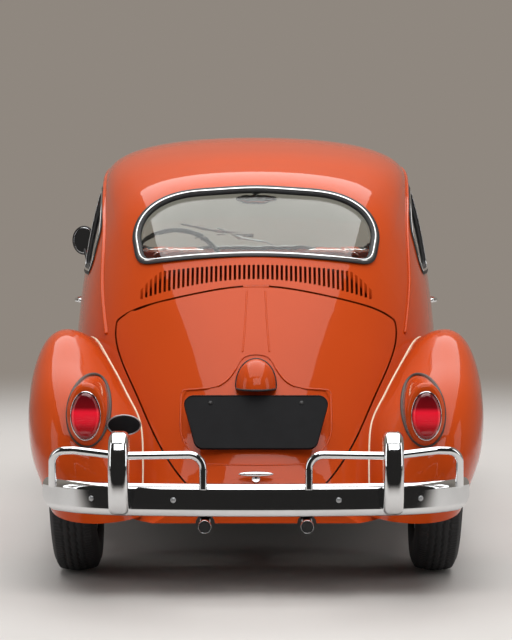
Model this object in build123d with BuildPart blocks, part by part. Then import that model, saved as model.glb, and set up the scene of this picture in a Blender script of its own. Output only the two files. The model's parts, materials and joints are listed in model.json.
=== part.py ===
from build123d import *
from collections import namedtuple
import math
import os

# Rear-engine compact car: two doors, separate wings, air-cooled engine in the tail.
#
# Millimetres. +X is the car's right, +Y its nose, +Z up. The origin is on the ground,
# under the middle of the overall length. Body outlines are given as shares: along() of
# the wheelbase behind the front axle, wide() of the belt half-width, high() of the roof.

os.makedirs("parts", exist_ok=True)

# Overall sizes
wheelbase = 2400
front_overhang = 765
rear_overhang = 905
car_width = 1540
roof_height = 1500
belt_half_width = 668

# Walls and clearances
side_wall = 38
nose_wall = 22
bulkhead = 20
glass = 5
glass_depth = 14
seat_gap = 0.3
skin_gap = 0.6
panel_gap = 6
hood_gap = 8
wing_sheet = 4

# Wheels and tyres
tyre_radius = 325
tyre_width = 158
rim_radius = 190
tyre_wall = 11
front_track = 1305
rear_track = 1240
rear_camber = 2.0
front_well_radius = 385
rear_well_radius = 368
front_well_face = 400
rear_well_face = 500

# Running gear
spindle_radius = 15
kingpin_radius = 11
kingpin_offset = 72
pin_fit = 0.3
beam_tube_radius = 30
beam_ahead = 118
axle_tube_radius = 29

# Hinges
door_pin_radius = 4
door_barrel_radius = 9
lid_pin_radius = 3
lid_barrel_radius = 7
hood_barrel_radius = 5

# Bumpers and exhaust
bumper_height = 104
bumper_depth = 30
bumper_flat = 430
bumper_sweep = 3200
bumper_corner = 340
bumper_sheet = 4
rear_bumper_z = 350
front_bumper_z = 395
guard_width = 64
rail_radius = 12.5
rail_foot = 166
tailpipe_radius = 19
tailpipe_bore = 16
tailpipe_offset = 165
tailpipe_z = 240

# Places worked out from the sizes
half_width = car_width / 2
overall_length = front_overhang + wheelbase + rear_overhang
front_axle_y = overall_length / 2 - front_overhang
rear_axle_y = front_axle_y - wheelbase
axle_z = tyre_radius
sill_z = 0.16 * roof_height
beam_y = front_axle_y + beam_ahead
beam_z = (axle_z - 72, axle_z + 78)
deck_z = 470


def along(share):
    """Y of a place behind the front axle, as a share of the wheelbase."""
    return front_axle_y - share * wheelbase


def wide(share):
    """X of a place on the right side, as a share of the belt half-width."""
    return share * belt_half_width


def high(share):
    """Z of a place, as a share of the roof height."""
    return share * roof_height


def left_of(shape):
    """The same piece on the left side."""
    return mirror(shape, about=Plane.YZ)


# ---------------------------------------------------------------- body hull
# One station of the hull: along, then widths at sill, mid-height and roof rail,
# height of the rail and height of the crown.
Station = namedtuple("Station", "at sill mid rail rail_z crown_z")

cabin_stations = [
    Station(0.167, 0.871, 0.904, 0.749, 0.817, 0.890),
    Station(0.250, 0.901, 0.943, 0.793, 0.863, 0.941),
    Station(0.375, 0.936, 0.981, 0.835, 0.895, 0.988),
    Station(0.521, 0.958, 1.000, 0.852, 0.912, 1.000),
    Station(0.667, 0.955, 0.994, 0.832, 0.887, 0.979),
    Station(0.792, 0.928, 0.970, 0.778, 0.837, 0.939),
    Station(0.888, 0.898, 0.925, 0.722, 0.767, 0.881),
    Station(0.958, 0.861, 0.871, 0.647, 0.687, 0.785),
    Station(1.029, 0.808, 0.793, 0.536, 0.579, 0.660),
    Station(1.104, 0.719, 0.677, 0.427, 0.459, 0.525),
    Station(1.167, 0.636, 0.576, 0.341, 0.351, 0.399),
    Station(1.208, 0.569, 0.487, 0.272, 0.268, 0.293),
    Station(1.233, 0.501, 0.407, 0.219, 0.209, 0.220),
]

nose_stations = [
    Station(0.179, 0.862, 0.892, 0.790, 0.655, 0.694),
    Station(0.083, 0.756, 0.822, 0.700, 0.626, 0.671),
    Station(0.000, 0.636, 0.714, 0.599, 0.594, 0.643),
    Station(-0.083, 0.527, 0.609, 0.506, 0.545, 0.603),
    Station(-0.167, 0.419, 0.497, 0.403, 0.473, 0.537),
    Station(-0.217, 0.352, 0.412, 0.325, 0.391, 0.450),
    Station(-0.250, 0.284, 0.332, 0.254, 0.310, 0.353),
]
nose_bottom = 0.193 * roof_height


def section_points(station, bottom):
    """Control points of the right half: a side curve up to the rail, then a roof curve."""
    sill, mid, rail = wide(station.sill), wide(station.mid), wide(station.rail)
    rail_z, crown_z = high(station.rail_z), high(station.crown_z)
    bulge = (mid - (sill + rail) / 8) / 0.75
    side = [(sill, bottom), (bulge, bottom + 0.3 * (rail_z - bottom))]
    side += [(bulge, bottom + 0.68 * (rail_z - bottom)), (rail, rail_z)]
    reach = 0.72 * (crown_z - rail_z) / (rail_z - side[2][1])
    shoulder = (rail + reach * (rail - bulge), rail_z + reach * (rail_z - side[2][1]))
    return side + [shoulder, (0.53 * rail, crown_z), (0, crown_z)]


def inward(points, depth):
    """The control points moved in by depth, square to the curve."""
    moved = []
    for i, (x, z) in enumerate(points):
        before, after = points[max(i - 1, 0)], points[min(i + 1, len(points) - 1)]
        run, rise = after[0] - before[0], after[1] - before[1]
        if i == 0:
            run, rise = 0, 1
        if i >= len(points) - 2:
            run, rise = -1, 0
        size = math.hypot(run, rise)
        moved.append((x - depth * rise / size, z + depth * run / size))
    moved[-1] = (0, moved[-1][1])
    return moved


def spans_between(places, rows):
    """Bezier rows between stations: four control points along, for each one across."""
    steps = [b - a for a, b in zip(places, places[1:])]
    rates = [[(b - a) / step for a, b in zip(*pair)] for pair, step in zip(zip(rows, rows[1:]), steps)]
    slopes = [rates[0]]
    for i in range(1, len(rows) - 1):
        near, far = steps[i], steps[i - 1]
        slopes.append([(a * near + b * far) / (near + far) for a, b in zip(rates[i - 1], rates[i])])
    slopes.append(rates[-1])
    spans = []
    for i, step in enumerate(steps):
        ends = zip(rows[i], slopes[i], slopes[i + 1], rows[i + 1])
        spans.append([(a, a + m * (step / 3), b - n * (step / 3), b) for a, m, n, b in ends])
    return spans


def closed_solid(faces):
    """Solid bounded by faces, its volume positive."""
    solid = Solid(Shell(faces))
    return Part() + solid


def hull(stations, bottom, depth=0, low=None):
    """Solid through the stations in smooth patches, its surface depth inside the outer skin."""
    rows = []
    for station in stations:
        points = inward(section_points(station, bottom), depth)
        if low is not None:
            points[0] = (points[0][0], low)
        whole = points + [(-x, z) for x, z in reversed(points[:-1])]
        rows.append([Vector(x, along(station.at), z) for x, z in whole])
    faces, feet = [], []
    for span in spans_between([station.at for station in stations], rows):
        for k in range(0, 12, 3):
            faces.append(Face.make_bezier_surface([list(span[k + j]) for j in range(4)]))
        feet += [Edge.make_bezier(*span[0]), Edge.make_bezier(*span[12])]
    for row in (rows[0], rows[-1]):
        foot = Edge.make_line(row[12], row[0])
        faces.append(Face(Wire([Edge.make_bezier(*row[k : k + 4]) for k in range(0, 12, 3)] + [foot])))
        feet.append(foot)
    faces.append(Face(Wire(feet)))
    return closed_solid(faces)


def side_profile(points, half_span, radius=0):
    """Prism across the car from an outline given as (along, high) shares."""
    with BuildPart() as prism:
        with BuildSketch(Plane.YZ) as outline:
            with BuildLine():
                Polyline(*[(along(a), high(h)) for a, h in points], close=True)
            make_face()
            if radius:
                fillet(outline.vertices(), radius)
        extrude(amount=half_span, both=True)
    return prism.part


# The windscreen is a slightly curved pane on a raked plane.
screen_base = (0.1646, 0.690)
screen_head = (0.2708, 0.930)
screen_curve = 4500
screen_rise = high(screen_head[1] - screen_base[1])
screen_run = along(screen_head[0]) - along(screen_base[0])
screen_slope = Vector(0, screen_run, screen_rise).normalized()
screen_out = Vector(0, screen_rise, -screen_run).normalized()
screen_origin = Vector(0, along(screen_base[0]), high(screen_base[1]))
screen_length = math.hypot(screen_rise, screen_run)
screen_plane = Plane(screen_origin, x_dir=(1, 0, 0), z_dir=screen_out)


def screen_slab(outer, inner):
    """Curved slab parallel to the windscreen, from outer to inner depth behind its face."""
    across = 1.4 * half_width
    sag = across**2 / (2 * screen_curve)
    plane = Plane(screen_origin, x_dir=(1, 0, 0), z_dir=-screen_slope)
    out = plane.to_local_coords(screen_origin + screen_out).Y
    with BuildPart() as slab:
        with BuildSketch(plane):
            with BuildLine():
                front = [(-across, -sag - outer), (0, -outer), (across, -sag - outer)]
                back = [(-across, -sag - inner), (0, -inner), (across, -sag - inner)]
                first = ThreePointArc(*[(x, out * d) for x, d in front])
                second = ThreePointArc(*[(x, out * d) for x, d in back])
                Line(first @ 0, second @ 0)
                Line(first @ 1, second @ 1)
            make_face()
        extrude(amount=2 * screen_length, both=True)
    return slab.part


def wheel_well(axle_y, radius, face):
    """Cylinder that clears one right wheel, from face outwards."""
    with BuildPart() as well:
        with BuildSketch(Plane.YZ.offset(face)):
            with Locations((axle_y, axle_z)):
                Circle(radius)
        extrude(amount=half_width)
    return well.part


def both_sides(shape):
    """A shape and its mirror image, as one part."""
    return Part() + shape + left_of(shape)


cabin_skin = hull(cabin_stations, sill_z) - screen_slab(-4 * half_width, 0)
nose_skin = hull(nose_stations, nose_bottom)
hull_skin = cabin_skin + nose_skin
hull_reach = hull(cabin_stations, sill_z, -skin_gap) + hull(nose_stations, nose_bottom, -skin_gap)

open_bottom = sill_z - 4 * side_wall
cabin_void = hull(cabin_stations[:-1], sill_z, side_wall, open_bottom)
cabin_void -= screen_slab(-4 * half_width, side_wall)
tail_void = hull(cabin_stations[4:-1], sill_z, nose_wall, open_bottom)
nose_void = hull(nose_stations, nose_bottom, nose_wall, open_bottom)

# The cabin ends at a bulkhead that leans back under the rear window.
cabin_end, shelf_z = 0.958, 0.603
cabin_zone = side_profile(
    [(0.177, -0.1), (0.177, 1.1), (1.02, 1.1), (0.977, 0.7233), (cabin_end, shelf_z), (cabin_end, -0.1)],
    half_width,
)
engine_zone = side_profile(
    [(cabin_end, -0.1), (cabin_end, shelf_z), (0.977, 0.7233), (1.02, 1.1), (1.3, 1.1), (1.3, -0.1)],
    half_width,
)
engine_zone = engine_zone.moved(Location((0, -bulkhead, 0)))
nose_zone = side_profile([(-0.2408, -0.1), (-0.2408, 1.1), (0.168, 1.1), (0.168, -0.1)], half_width)

wells = both_sides(wheel_well(front_axle_y, front_well_radius, front_well_face))
wells += both_sides(wheel_well(rear_axle_y, rear_well_radius, rear_well_face))
well_skins = both_sides(
    wheel_well(front_axle_y, front_well_radius + nose_wall, front_well_face - nose_wall)
)
well_skins += both_sides(
    wheel_well(rear_axle_y, rear_well_radius + nose_wall, rear_well_face - nose_wall)
)

rooms = (cabin_void & cabin_zone) + (tail_void & engine_zone) + (nose_void & nose_zone)
with BuildPart() as gearbox_way:
    with Locations((0, along(0.967), 0)):
        Box(wide(1.2), 0.05 * wheelbase, 2 * deck_z)
rooms += gearbox_way.part
rooms -= well_skins
body_wall = hull_skin - wells - rooms


# ---------------------------------------------------------------- openings
def shrink(sketch, inset):
    """The outline moved in by inset, its free curves redrawn as splines."""
    if not inset:
        return sketch
    edges = []
    for edge in offset(sketch, amount=-inset).face().outer_wire().edges():
        if edge.geom_type in (GeomType.LINE, GeomType.CIRCLE):
            edges.append(edge)
        else:
            points = [edge @ (i / 16) for i in range(17)]
            edges.append(Edge.make_spline(points, tangents=[edge % 0, edge % 1]))
    return Sketch() + Face(Wire(edges))


door_front, door_rear = 0.2104, 0.570
door_low, door_belt, door_top = 0.220, 0.660, 0.9053


def door_outline(inset):
    """Outline of the door in side view, inset from the doorway."""
    with BuildSketch(Plane.YZ) as outline:
        with BuildLine():
            Polyline(
                (along(0.2875), high(0.862)),
                (along(door_front), high(door_belt)),
                (along(door_front), high(door_low)),
                (along(door_rear - 0.035), high(door_low)),
                (along(door_rear), high(0.40)),
                (along(door_rear), high(0.70)),
                (along(0.559), high(0.893)),
            )
            ThreePointArc(
                (along(0.559), high(0.893)),
                (along(0.41), high(door_top)),
                (along(0.2875), high(0.862)),
            )
        make_face()
        fillet(outline.vertices().filter_by(lambda v: v.Y < high(0.25)), 60)
        fillet(outline.vertices().sort_by(Axis.Y)[-2:], 40)
    return shrink(outline.sketch, inset)


def door_window_outline(inset):
    """Outline of the glass opening in the door."""
    with BuildSketch(Plane.YZ) as outline:
        with BuildLine():
            Polyline(
                (along(0.2985), high(0.850)),
                (along(0.2370), high(0.672)),
                (along(0.549), high(0.672)),
                (along(0.540), high(0.874)),
            )
            ThreePointArc(
                (along(0.540), high(0.874)),
                (along(0.41), high(0.8810)),
                (along(0.2985), high(0.850)),
            )
        make_face()
        fillet(outline.vertices(), 28)
    return shrink(outline.sketch, inset)


def quarter_window_outline(inset):
    """Outline of the fixed side window behind the door."""
    with BuildSketch(Plane.YZ) as outline:
        with BuildLine():
            upper = ThreePointArc(
                (along(0.603), high(0.868)),
                (along(0.700), high(0.840)),
                (along(0.790), high(0.765)),
            )
            Polyline(
                upper @ 1,
                (along(0.808), high(0.700)),
                (along(0.800), high(0.672)),
                (along(0.597), high(0.672)),
                upper @ 0,
            )
        make_face()
        fillet(outline.vertices().filter_by(lambda v: v.Y < high(0.75)), 18)
        fillet(outline.vertices().sort_by(Axis.Y)[-2:], 14)
    return shrink(outline.sketch, inset)


def windscreen_outline(inset):
    """Outline of the windscreen opening, on its own raked plane."""
    up = screen_plane.to_local_coords(screen_origin + screen_slope).Y
    bottom, top = 0.055 * screen_length * up, 0.915 * screen_length * up
    with BuildSketch(screen_plane) as outline:
        with BuildLine():
            Polyline((0, bottom - 6 * up), (wide(0.800), bottom + 12 * up), (wide(0.665), top - 18 * up))
            Spline((wide(0.665), top - 18 * up), (0, top), (-wide(0.665), top - 18 * up))
            Polyline((-wide(0.665), top - 18 * up), (-wide(0.800), bottom + 12 * up), (0, bottom - 6 * up))
        make_face()
        fillet(outline.vertices().filter_by(lambda v: abs(v.X) > 1), 70)
    return shrink(outline.sketch, inset)


def rear_window_outline(inset):
    """Outline of the rear window opening, seen from behind."""
    plane = Plane((0, along(1.3), 0), x_dir=(1, 0, 0), z_dir=(0, -1, 0))
    right = [(0.22, 0.8665), (0.44, 0.852), (0.575, 0.815), (0.622, 0.757)]
    with BuildSketch(plane) as outline:
        with BuildLine():
            top = [(wide(x), high(z)) for x, z in right]
            crown = [(-x, z) for x, z in reversed(top)] + [(0, high(0.8715))] + top
            arch = Spline(*crown)
            Line(arch @ 1, (wide(0.594), high(0.7013)))
            ThreePointArc((wide(0.594), high(0.7013)), (0, high(0.722)), (-wide(0.594), high(0.7013)))
            Line((-wide(0.594), high(0.7013)), arch @ 0)
        make_face()
        fillet(outline.vertices().sort_by(Axis.Y)[:2], 32)
    return shrink(outline.sketch, inset)


lid_top = 0.660
lid_side = [(0.30, 0.6435), (0.52, 0.6195), (0.680, 0.590), (0.722, 0.5755)]
lid_flank = [(0.727, 0.535), (0.692, 0.487), (0.608, 0.418), (0.520, 0.345), (0.440, 0.290), (0.330, 0.235)]
lid_foot = 0.222


def lid_outline(inset):
    """Outline of the engine lid, seen from behind."""
    plane = Plane((0, along(1.3), 0), x_dir=(1, 0, 0), z_dir=(0, -1, 0))
    right = [(wide(x), high(z)) for x, z in lid_side]
    arch = [(-x, z) for x, z in reversed(right)] + [(0, high(lid_top))] + right
    flank = [(wide(x), high(z)) for x, z in [lid_side[-1]] + lid_flank]
    with BuildSketch(plane) as outline:
        with BuildLine():
            Spline(*arch)
            Spline(*flank)
            Line(flank[-1], (0.85 * flank[-1][0], high(lid_foot)))
            Line((0.85 * flank[-1][0], high(lid_foot)), (-0.85 * flank[-1][0], high(lid_foot)))
            Line((-0.85 * flank[-1][0], high(lid_foot)), (-flank[-1][0], flank[-1][1]))
            Spline(*[(-x, z) for x, z in flank])
        make_face()
        fillet(outline.vertices().sort_by(Axis.Y)[-2:], 30)
    return shrink(outline.sketch, inset)


hood_rear, hood_lip_z = 0.1525, 0.320
hood_edge = [(0.700, 0.139), (0.672, 0.083), (0.584, 0.0), (0.490, -0.083), (0.388, -0.167), (0.308, -0.225)]


def hood_outline(inset):
    """Outline of the front lid, seen from above."""
    edge = [(wide(x), along(a)) for x, a in hood_edge]
    with BuildSketch(Plane.XY.offset(high(hood_lip_z))) as outline:
        with BuildLine():
            Spline(*edge)
            nose = (0.62 * edge[-1][0], along(-0.27))
            Polyline(edge[-1], nose, (-nose[0], nose[1]), (-edge[-1][0], edge[-1][1]))
            Spline(*[(-x, y) for x, y in edge])
            ThreePointArc((-edge[0][0], edge[0][1]), (0, along(hood_rear)), edge[0])
        make_face()
        fillet(outline.vertices().sort_by(Axis.Y)[:2], 60)
    return shrink(outline.sketch, inset)


def through(sketch, start, depth, direction):
    """Prism from a sketch, set off along direction by start and then depth long."""
    with BuildPart() as prism:
        extrude(sketch.moved(Location(Vector(*direction) * start)), amount=depth, dir=direction)
    return prism.part


def side_prism(sketch):
    """Prism through the right-hand wall only."""
    return through(sketch, 0.45 * belt_half_width, belt_half_width, (1, 0, 0))


def tail_prism(sketch, front):
    """Prism through the tail, from the station front backwards."""
    start = along(1.3) - along(front)
    return through(sketch, start, -start, (0, -1, 0))


def hood_prism(sketch):
    """Prism up through the nose from the lid's lip."""
    return through(sketch, 0, roof_height, (0, 0, 1))


def screen_prism(sketch):
    """Prism square through the windscreen."""
    return through(sketch, -3 * side_wall, 6 * side_wall, tuple(screen_out))


# Air slots under the rear window: one row, taller towards the sides.
slot_count = 50
slot_width = 8.6
slot_span = 0.590


def air_slots():
    """All the engine's air slots as one cutting prism."""
    plane = Plane((0, along(1.3), 0), x_dir=(1, 0, 0), z_dir=(0, -1, 0))
    reach = wide(slot_span)
    pitch = 2 * reach / (slot_count - 1)
    with BuildSketch(plane) as row:
        for i in range(slot_count):
            x = -reach + i * pitch
            spread = (x / reach) ** 2
            top = high(0.7045) - high(0.0235) * spread
            foot = high(0.6730) - high(0.0475) * spread
            with Locations((x, (top + foot) / 2)):
                Rectangle(slot_width, top - foot)
    return tail_prism(row.sketch, 0.9885)


def skin_x(share, z):
    """How far out the hull's side is, at a place along the car and a height."""
    hits = hull_skin.find_intersection_points(Axis((0, along(share), z), (1, 0, 0)))
    return max(point.X for point, _ in hits)


def skin_z(x, y):
    """Height of the hull's top surface over a point."""
    hits = hull_skin.find_intersection_points(Axis((x, y, 0), (0, 0, 1)))
    return max(point.Z for point, _ in hits)


def skin_y(x, z, ahead):
    """Where the hull's surface lies ahead of (1) or behind (-1) a point."""
    hits = hull_skin.find_intersection_points(Axis((x, 0, z), (0, 1, 0)))
    places = [point.Y for point, _ in hits]
    return max(places) if ahead > 0 else min(places)


def rod(path, radius):
    """Round bar along straight runs joined by tangent bends: path is points and bend radius."""
    points, bend = path
    with BuildPart() as bar:
        with BuildLine() as line:
            FilletPolyline(*points, radius=bend)
        start = line.line @ 0
        with BuildSketch(Plane(start, z_dir=line.line % 0)):
            Circle(radius)
        sweep(path=line.line)
    return bar.part


def cylinder(center, direction, radius, length):
    """Round bar of a length, from center along a direction."""
    with BuildPart() as bar:
        with BuildSketch(Plane(center, z_dir=direction)):
            Circle(radius)
        extrude(amount=length)
    return bar.part


def block(low, high_corner, radius=0):
    """Box between two corners, its edges rounded."""
    size = [b - a for a, b in zip(low, high_corner)]
    with BuildPart() as box:
        with Locations(tuple((a + b) / 2 for a, b in zip(low, high_corner))):
            Box(*size)
        if radius:
            fillet(box.edges(), radius)
    return box.part


# ---------------------------------------------------------------- hinge lines
door_axis_y = along(door_front) - panel_gap / 2
door_pin_z = (0.375, 0.585)
door_axis_x = max(skin_x(door_front, high(z)) for z in door_pin_z) + door_barrel_radius + 2
door_knuckle = 26
door_lug = 12

lid_axis_z = high(lid_top) - lid_barrel_radius - 1
lid_axis_y = skin_y(0, lid_axis_z, -1) + lid_barrel_radius + 1
hood_axis_y = along(hood_rear) + hood_gap / 2
hood_axis_z = skin_z(0, hood_axis_y) - hood_barrel_radius - 1
hinge_span = 30
hinge_lug = 14


def door_hinges(side):
    """Knuckles of the door's two hinges: side 'body' gives lugs and pin, 'door' the barrel."""
    pieces = Part()
    reach = door_axis_x - skin_x(door_front, high(0.48)) + side_wall / 2
    for share in door_pin_z:
        z = high(share)
        if side == "door":
            foot = (door_axis_x - reach, door_axis_y - 34, z - door_knuckle / 2)
            top = (door_axis_x + 3, door_axis_y - 6, z + door_knuckle / 2)
            knuckle = cylinder((door_axis_x, door_axis_y, foot[2]), (0, 0, 1), door_barrel_radius, door_knuckle)
            knuckle += block(foot, top)
            bore = cylinder(
                (door_axis_x, door_axis_y, foot[2] - 1), (0, 0, 1), door_pin_radius + pin_fit, door_knuckle + 2
            )
            pieces += knuckle - bore
        else:
            for low in (z - door_knuckle / 2 - pin_fit - door_lug, z + door_knuckle / 2 + pin_fit):
                pieces += cylinder((door_axis_x, door_axis_y, low), (0, 0, 1), door_barrel_radius, door_lug)
                pieces += block(
                    (door_axis_x - reach, door_axis_y + 5, low),
                    (door_axis_x + 3, door_axis_y + 32, low + door_lug),
                )
            start = z - door_knuckle / 2 - door_lug
            pieces += cylinder(
                (door_axis_x, door_axis_y, start), (0, 0, 1), door_pin_radius, door_knuckle + 2 * door_lug
            )
    return pieces


def lid_knuckle(y, z, radius, slope, side):
    """Knuckle of a lid hinge across the car; slope points from the axis into the lid."""
    run = Vector(*slope).normalized()
    pieces = Part()
    if side == "lid":
        spans = [(-hinge_span, 2 * hinge_span)]
        away = 1
    else:
        spans = [(-hinge_span - pin_fit - hinge_lug, hinge_lug), (hinge_span + pin_fit, hinge_lug)]
        away = -1
    for start, size in spans:
        pieces += cylinder((start, y, z), (1, 0, 0), radius, size)
        mid = Vector(0, y, z) + run * away * (radius + 6)
        plane = Plane((start, mid.Y, mid.Z), x_dir=tuple(run), z_dir=(1, 0, 0))
        with BuildPart() as web:
            with BuildSketch(plane):
                Rectangle(2 * radius + 12, 1.2 * radius)
            extrude(amount=size)
        pieces += web.part
    pin = cylinder((-hinge_span - hinge_lug, y, z), (1, 0, 0), lid_pin_radius, 2 * (hinge_span + hinge_lug))
    bore = cylinder((-hinge_span - 1, y, z), (1, 0, 0), lid_pin_radius + pin_fit, 2 * hinge_span + 2)
    return pieces - bore if side == "lid" else pieces + pin


lid_run = (0, -0.72, -0.69)
hood_run = (0, 0.989, -0.148)
pocket_half = hinge_span + hinge_lug + 1
lid_pocket = cylinder(
    (-pocket_half, lid_axis_y, lid_axis_z), (1, 0, 0), lid_barrel_radius + 0.8, 2 * pocket_half
)
hood_pocket = cylinder(
    (-pocket_half, hood_axis_y, hood_axis_z), (1, 0, 0), hood_barrel_radius + 0.8, 2 * pocket_half
)

# ---------------------------------------------------------------- body shell
hood_cut = hood_prism(hood_outline(0)) - well_skins
lid_cut = tail_prism(lid_outline(0), 0.978)
door_cut = side_prism(door_outline(0))
quarter_cut = side_prism(quarter_window_outline(0))
beam_holes = both_sides(
    cylinder((front_well_face - 2 * nose_wall, beam_y, beam_z[0]), (1, 0, 0), beam_tube_radius + 6, 4 * nose_wall)
    + cylinder((front_well_face - 2 * nose_wall, beam_y, beam_z[1]), (1, 0, 0), beam_tube_radius + 6, 4 * nose_wall)
)
swing_holes = both_sides(
    cylinder((rear_well_face - 3 * nose_wall, rear_axle_y, axle_z), (1, 0, 0), axle_tube_radius + 24, 4 * nose_wall)
)
pipe_notches = both_sides(
    cylinder((tailpipe_offset, along(1.3), tailpipe_z), (0, 1, 0), tailpipe_radius + 12, 0.25 * wheelbase)
)

with BuildPart() as body_shell:
    add(body_wall)
    add(both_sides(door_cut), mode=Mode.SUBTRACT)
    add(both_sides(quarter_cut), mode=Mode.SUBTRACT)
    add(screen_prism(windscreen_outline(0)), mode=Mode.SUBTRACT)
    add(tail_prism(rear_window_outline(0), 0.80), mode=Mode.SUBTRACT)
    add(lid_cut, mode=Mode.SUBTRACT)
    add(hood_cut, mode=Mode.SUBTRACT)
    add(air_slots(), mode=Mode.SUBTRACT)
    add(pipe_notches, mode=Mode.SUBTRACT)
    add(beam_holes, mode=Mode.SUBTRACT)
    add(swing_holes, mode=Mode.SUBTRACT)
    add(lid_pocket, mode=Mode.SUBTRACT)
    add(hood_pocket, mode=Mode.SUBTRACT)
    add(both_sides(door_hinges("body")))
    add(lid_knuckle(lid_axis_y, lid_axis_z, lid_barrel_radius, lid_run, "body"))
    add(lid_knuckle(hood_axis_y, hood_axis_z, hood_barrel_radius, hood_run, "body"))

with BuildPart() as hood:
    add(body_wall)
    add(hood_prism(hood_outline(hood_gap)) - well_skins, mode=Mode.INTERSECT)
    add(hood_pocket, mode=Mode.SUBTRACT)
    add(lid_knuckle(hood_axis_y, hood_axis_z, hood_barrel_radius, hood_run, "lid"))

# Pressed panel of the engine lid, for the number plate and its lamp
recess_depth = 5
recess_side = [
    (0.066, 0.504), (0.105, 0.4787), (0.138, 0.460), (0.187, 0.4455), (0.238, 0.4400), (0.345, 0.4345),
    (0.368, 0.416), (0.361, 0.335), (0.263, 0.2845),
]
recess_right = [(wide(x), high(z)) for x, z in recess_side]
with BuildSketch(Plane((0, along(1.3), 0), x_dir=(1, 0, 0), z_dir=(0, -1, 0))) as recess_outline:
    with BuildLine():
        crown = [(-x, z) for x, z in recess_right[3::-1]] + [(0, high(0.5115))] + recess_right[:4]
        Spline(*crown)
        Polyline(*recess_right[3:], *[(-x, z) for x, z in recess_right[:2:-1]])
    make_face()
    fillet(recess_outline.vertices().filter_by(lambda v: v.Y < high(0.43)), 16)
recess_skin = hull(cabin_stations, sill_z, -2) - hull(cabin_stations, sill_z, recess_depth)
lid_recess = recess_skin & tail_prism(recess_outline.sketch, 1.0)

with BuildPart() as engine_lid:
    add(body_wall)
    add(tail_prism(lid_outline(panel_gap), 0.981), mode=Mode.INTERSECT)
    add(lid_recess, mode=Mode.SUBTRACT)
    add(lid_pocket, mode=Mode.SUBTRACT)
    add(lid_knuckle(lid_axis_y, lid_axis_z, lid_barrel_radius, lid_run, "lid"))

with BuildPart() as door_right:
    add(body_wall)
    add(side_prism(door_outline(panel_gap)), mode=Mode.INTERSECT)
    add(side_prism(door_window_outline(0)), mode=Mode.SUBTRACT)
    add(door_hinges("door"))

with BuildPart() as door_left:
    mirror(door_right.part, about=Plane.YZ)

# ---------------------------------------------------------------- glass
pane_slab = hull(cabin_stations, sill_z, glass_depth) - hull(cabin_stations, sill_z, glass_depth + glass)

with BuildPart() as door_glass_right:
    add(pane_slab)
    add(side_prism(door_window_outline(seat_gap)), mode=Mode.INTERSECT)

with BuildPart() as door_glass_left:
    mirror(door_glass_right.part, about=Plane.YZ)

with BuildPart() as quarter_windows:
    add(both_sides(pane_slab & side_prism(quarter_window_outline(seat_gap))))

with BuildPart() as rear_window:
    add(pane_slab)
    add(tail_prism(rear_window_outline(seat_gap), 0.80), mode=Mode.INTERSECT)

with BuildPart() as windshield:
    add(screen_slab(glass_depth, glass_depth + glass))
    add(screen_prism(windscreen_outline(seat_gap)), mode=Mode.INTERSECT)

# ---------------------------------------------------------------- wings
# One fan section of a wing: angle round the axle, then four control points of its curve
# as (share of half the car's width, share of the tyre radius).
rear_wing_fan = [
    (-8, (0.460, 1.439), (0.571, 1.969), (0.831, 1.969), (0.878, 1.292)),
    (15, (0.460, 1.075), (0.578, 1.846), (0.909, 2.154), (0.960, 1.123)),
    (35, (0.473, 1.008), (0.600, 1.554), (0.965, 2.123), (0.990, 0.960)),
    (60, (0.538, 0.977), (0.682, 1.462), (0.990, 1.877), (1.000, 0.877)),
    (90, (0.640, 1.177), (0.769, 1.677), (0.983, 1.800), (1.005, 0.855)),
    (115, (0.675, 1.477), (0.831, 1.677), (1.003, 1.677), (1.003, 0.877)),
    (140, (0.740, 1.569), (0.870, 1.600), (1.000, 1.477), (0.997, 0.954)),
    (165, (0.766, 1.554), (0.883, 1.575), (0.990, 1.471), (0.992, 1.077)),
    (183, (0.779, 1.585), (0.883, 1.600), (0.981, 1.508), (0.987, 1.231)),
]
front_wing_fan = [
    (-12, (0.312, 1.560), (0.429, 1.860), (0.800, 1.820), (0.860, 1.270)),
    (10, (0.312, 1.560), (0.455, 1.930), (0.860, 1.920), (0.920, 1.215)),
    (30, (0.338, 1.477), (0.494, 2.050), (0.915, 2.040), (0.950, 1.165)),
    (50, (0.390, 1.538), (0.545, 1.969), (0.961, 1.969), (0.981, 1.145)),
    (70, (0.430, 1.508), (0.618, 1.775), (0.994, 1.785), (0.994, 1.138)),
    (90, (0.506, 1.585), (0.701, 1.677), (1.000, 1.677), (1.000, 1.132)),
    (120, (0.584, 1.538), (0.766, 1.592), (0.997, 1.575), (0.995, 1.138)),
    (150, (0.675, 1.523), (0.818, 1.548), (0.987, 1.523), (0.990, 1.185)),
    (178, (0.747, 1.477), (0.844, 1.492), (0.977, 1.468), (0.984, 1.231)),
]


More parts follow.
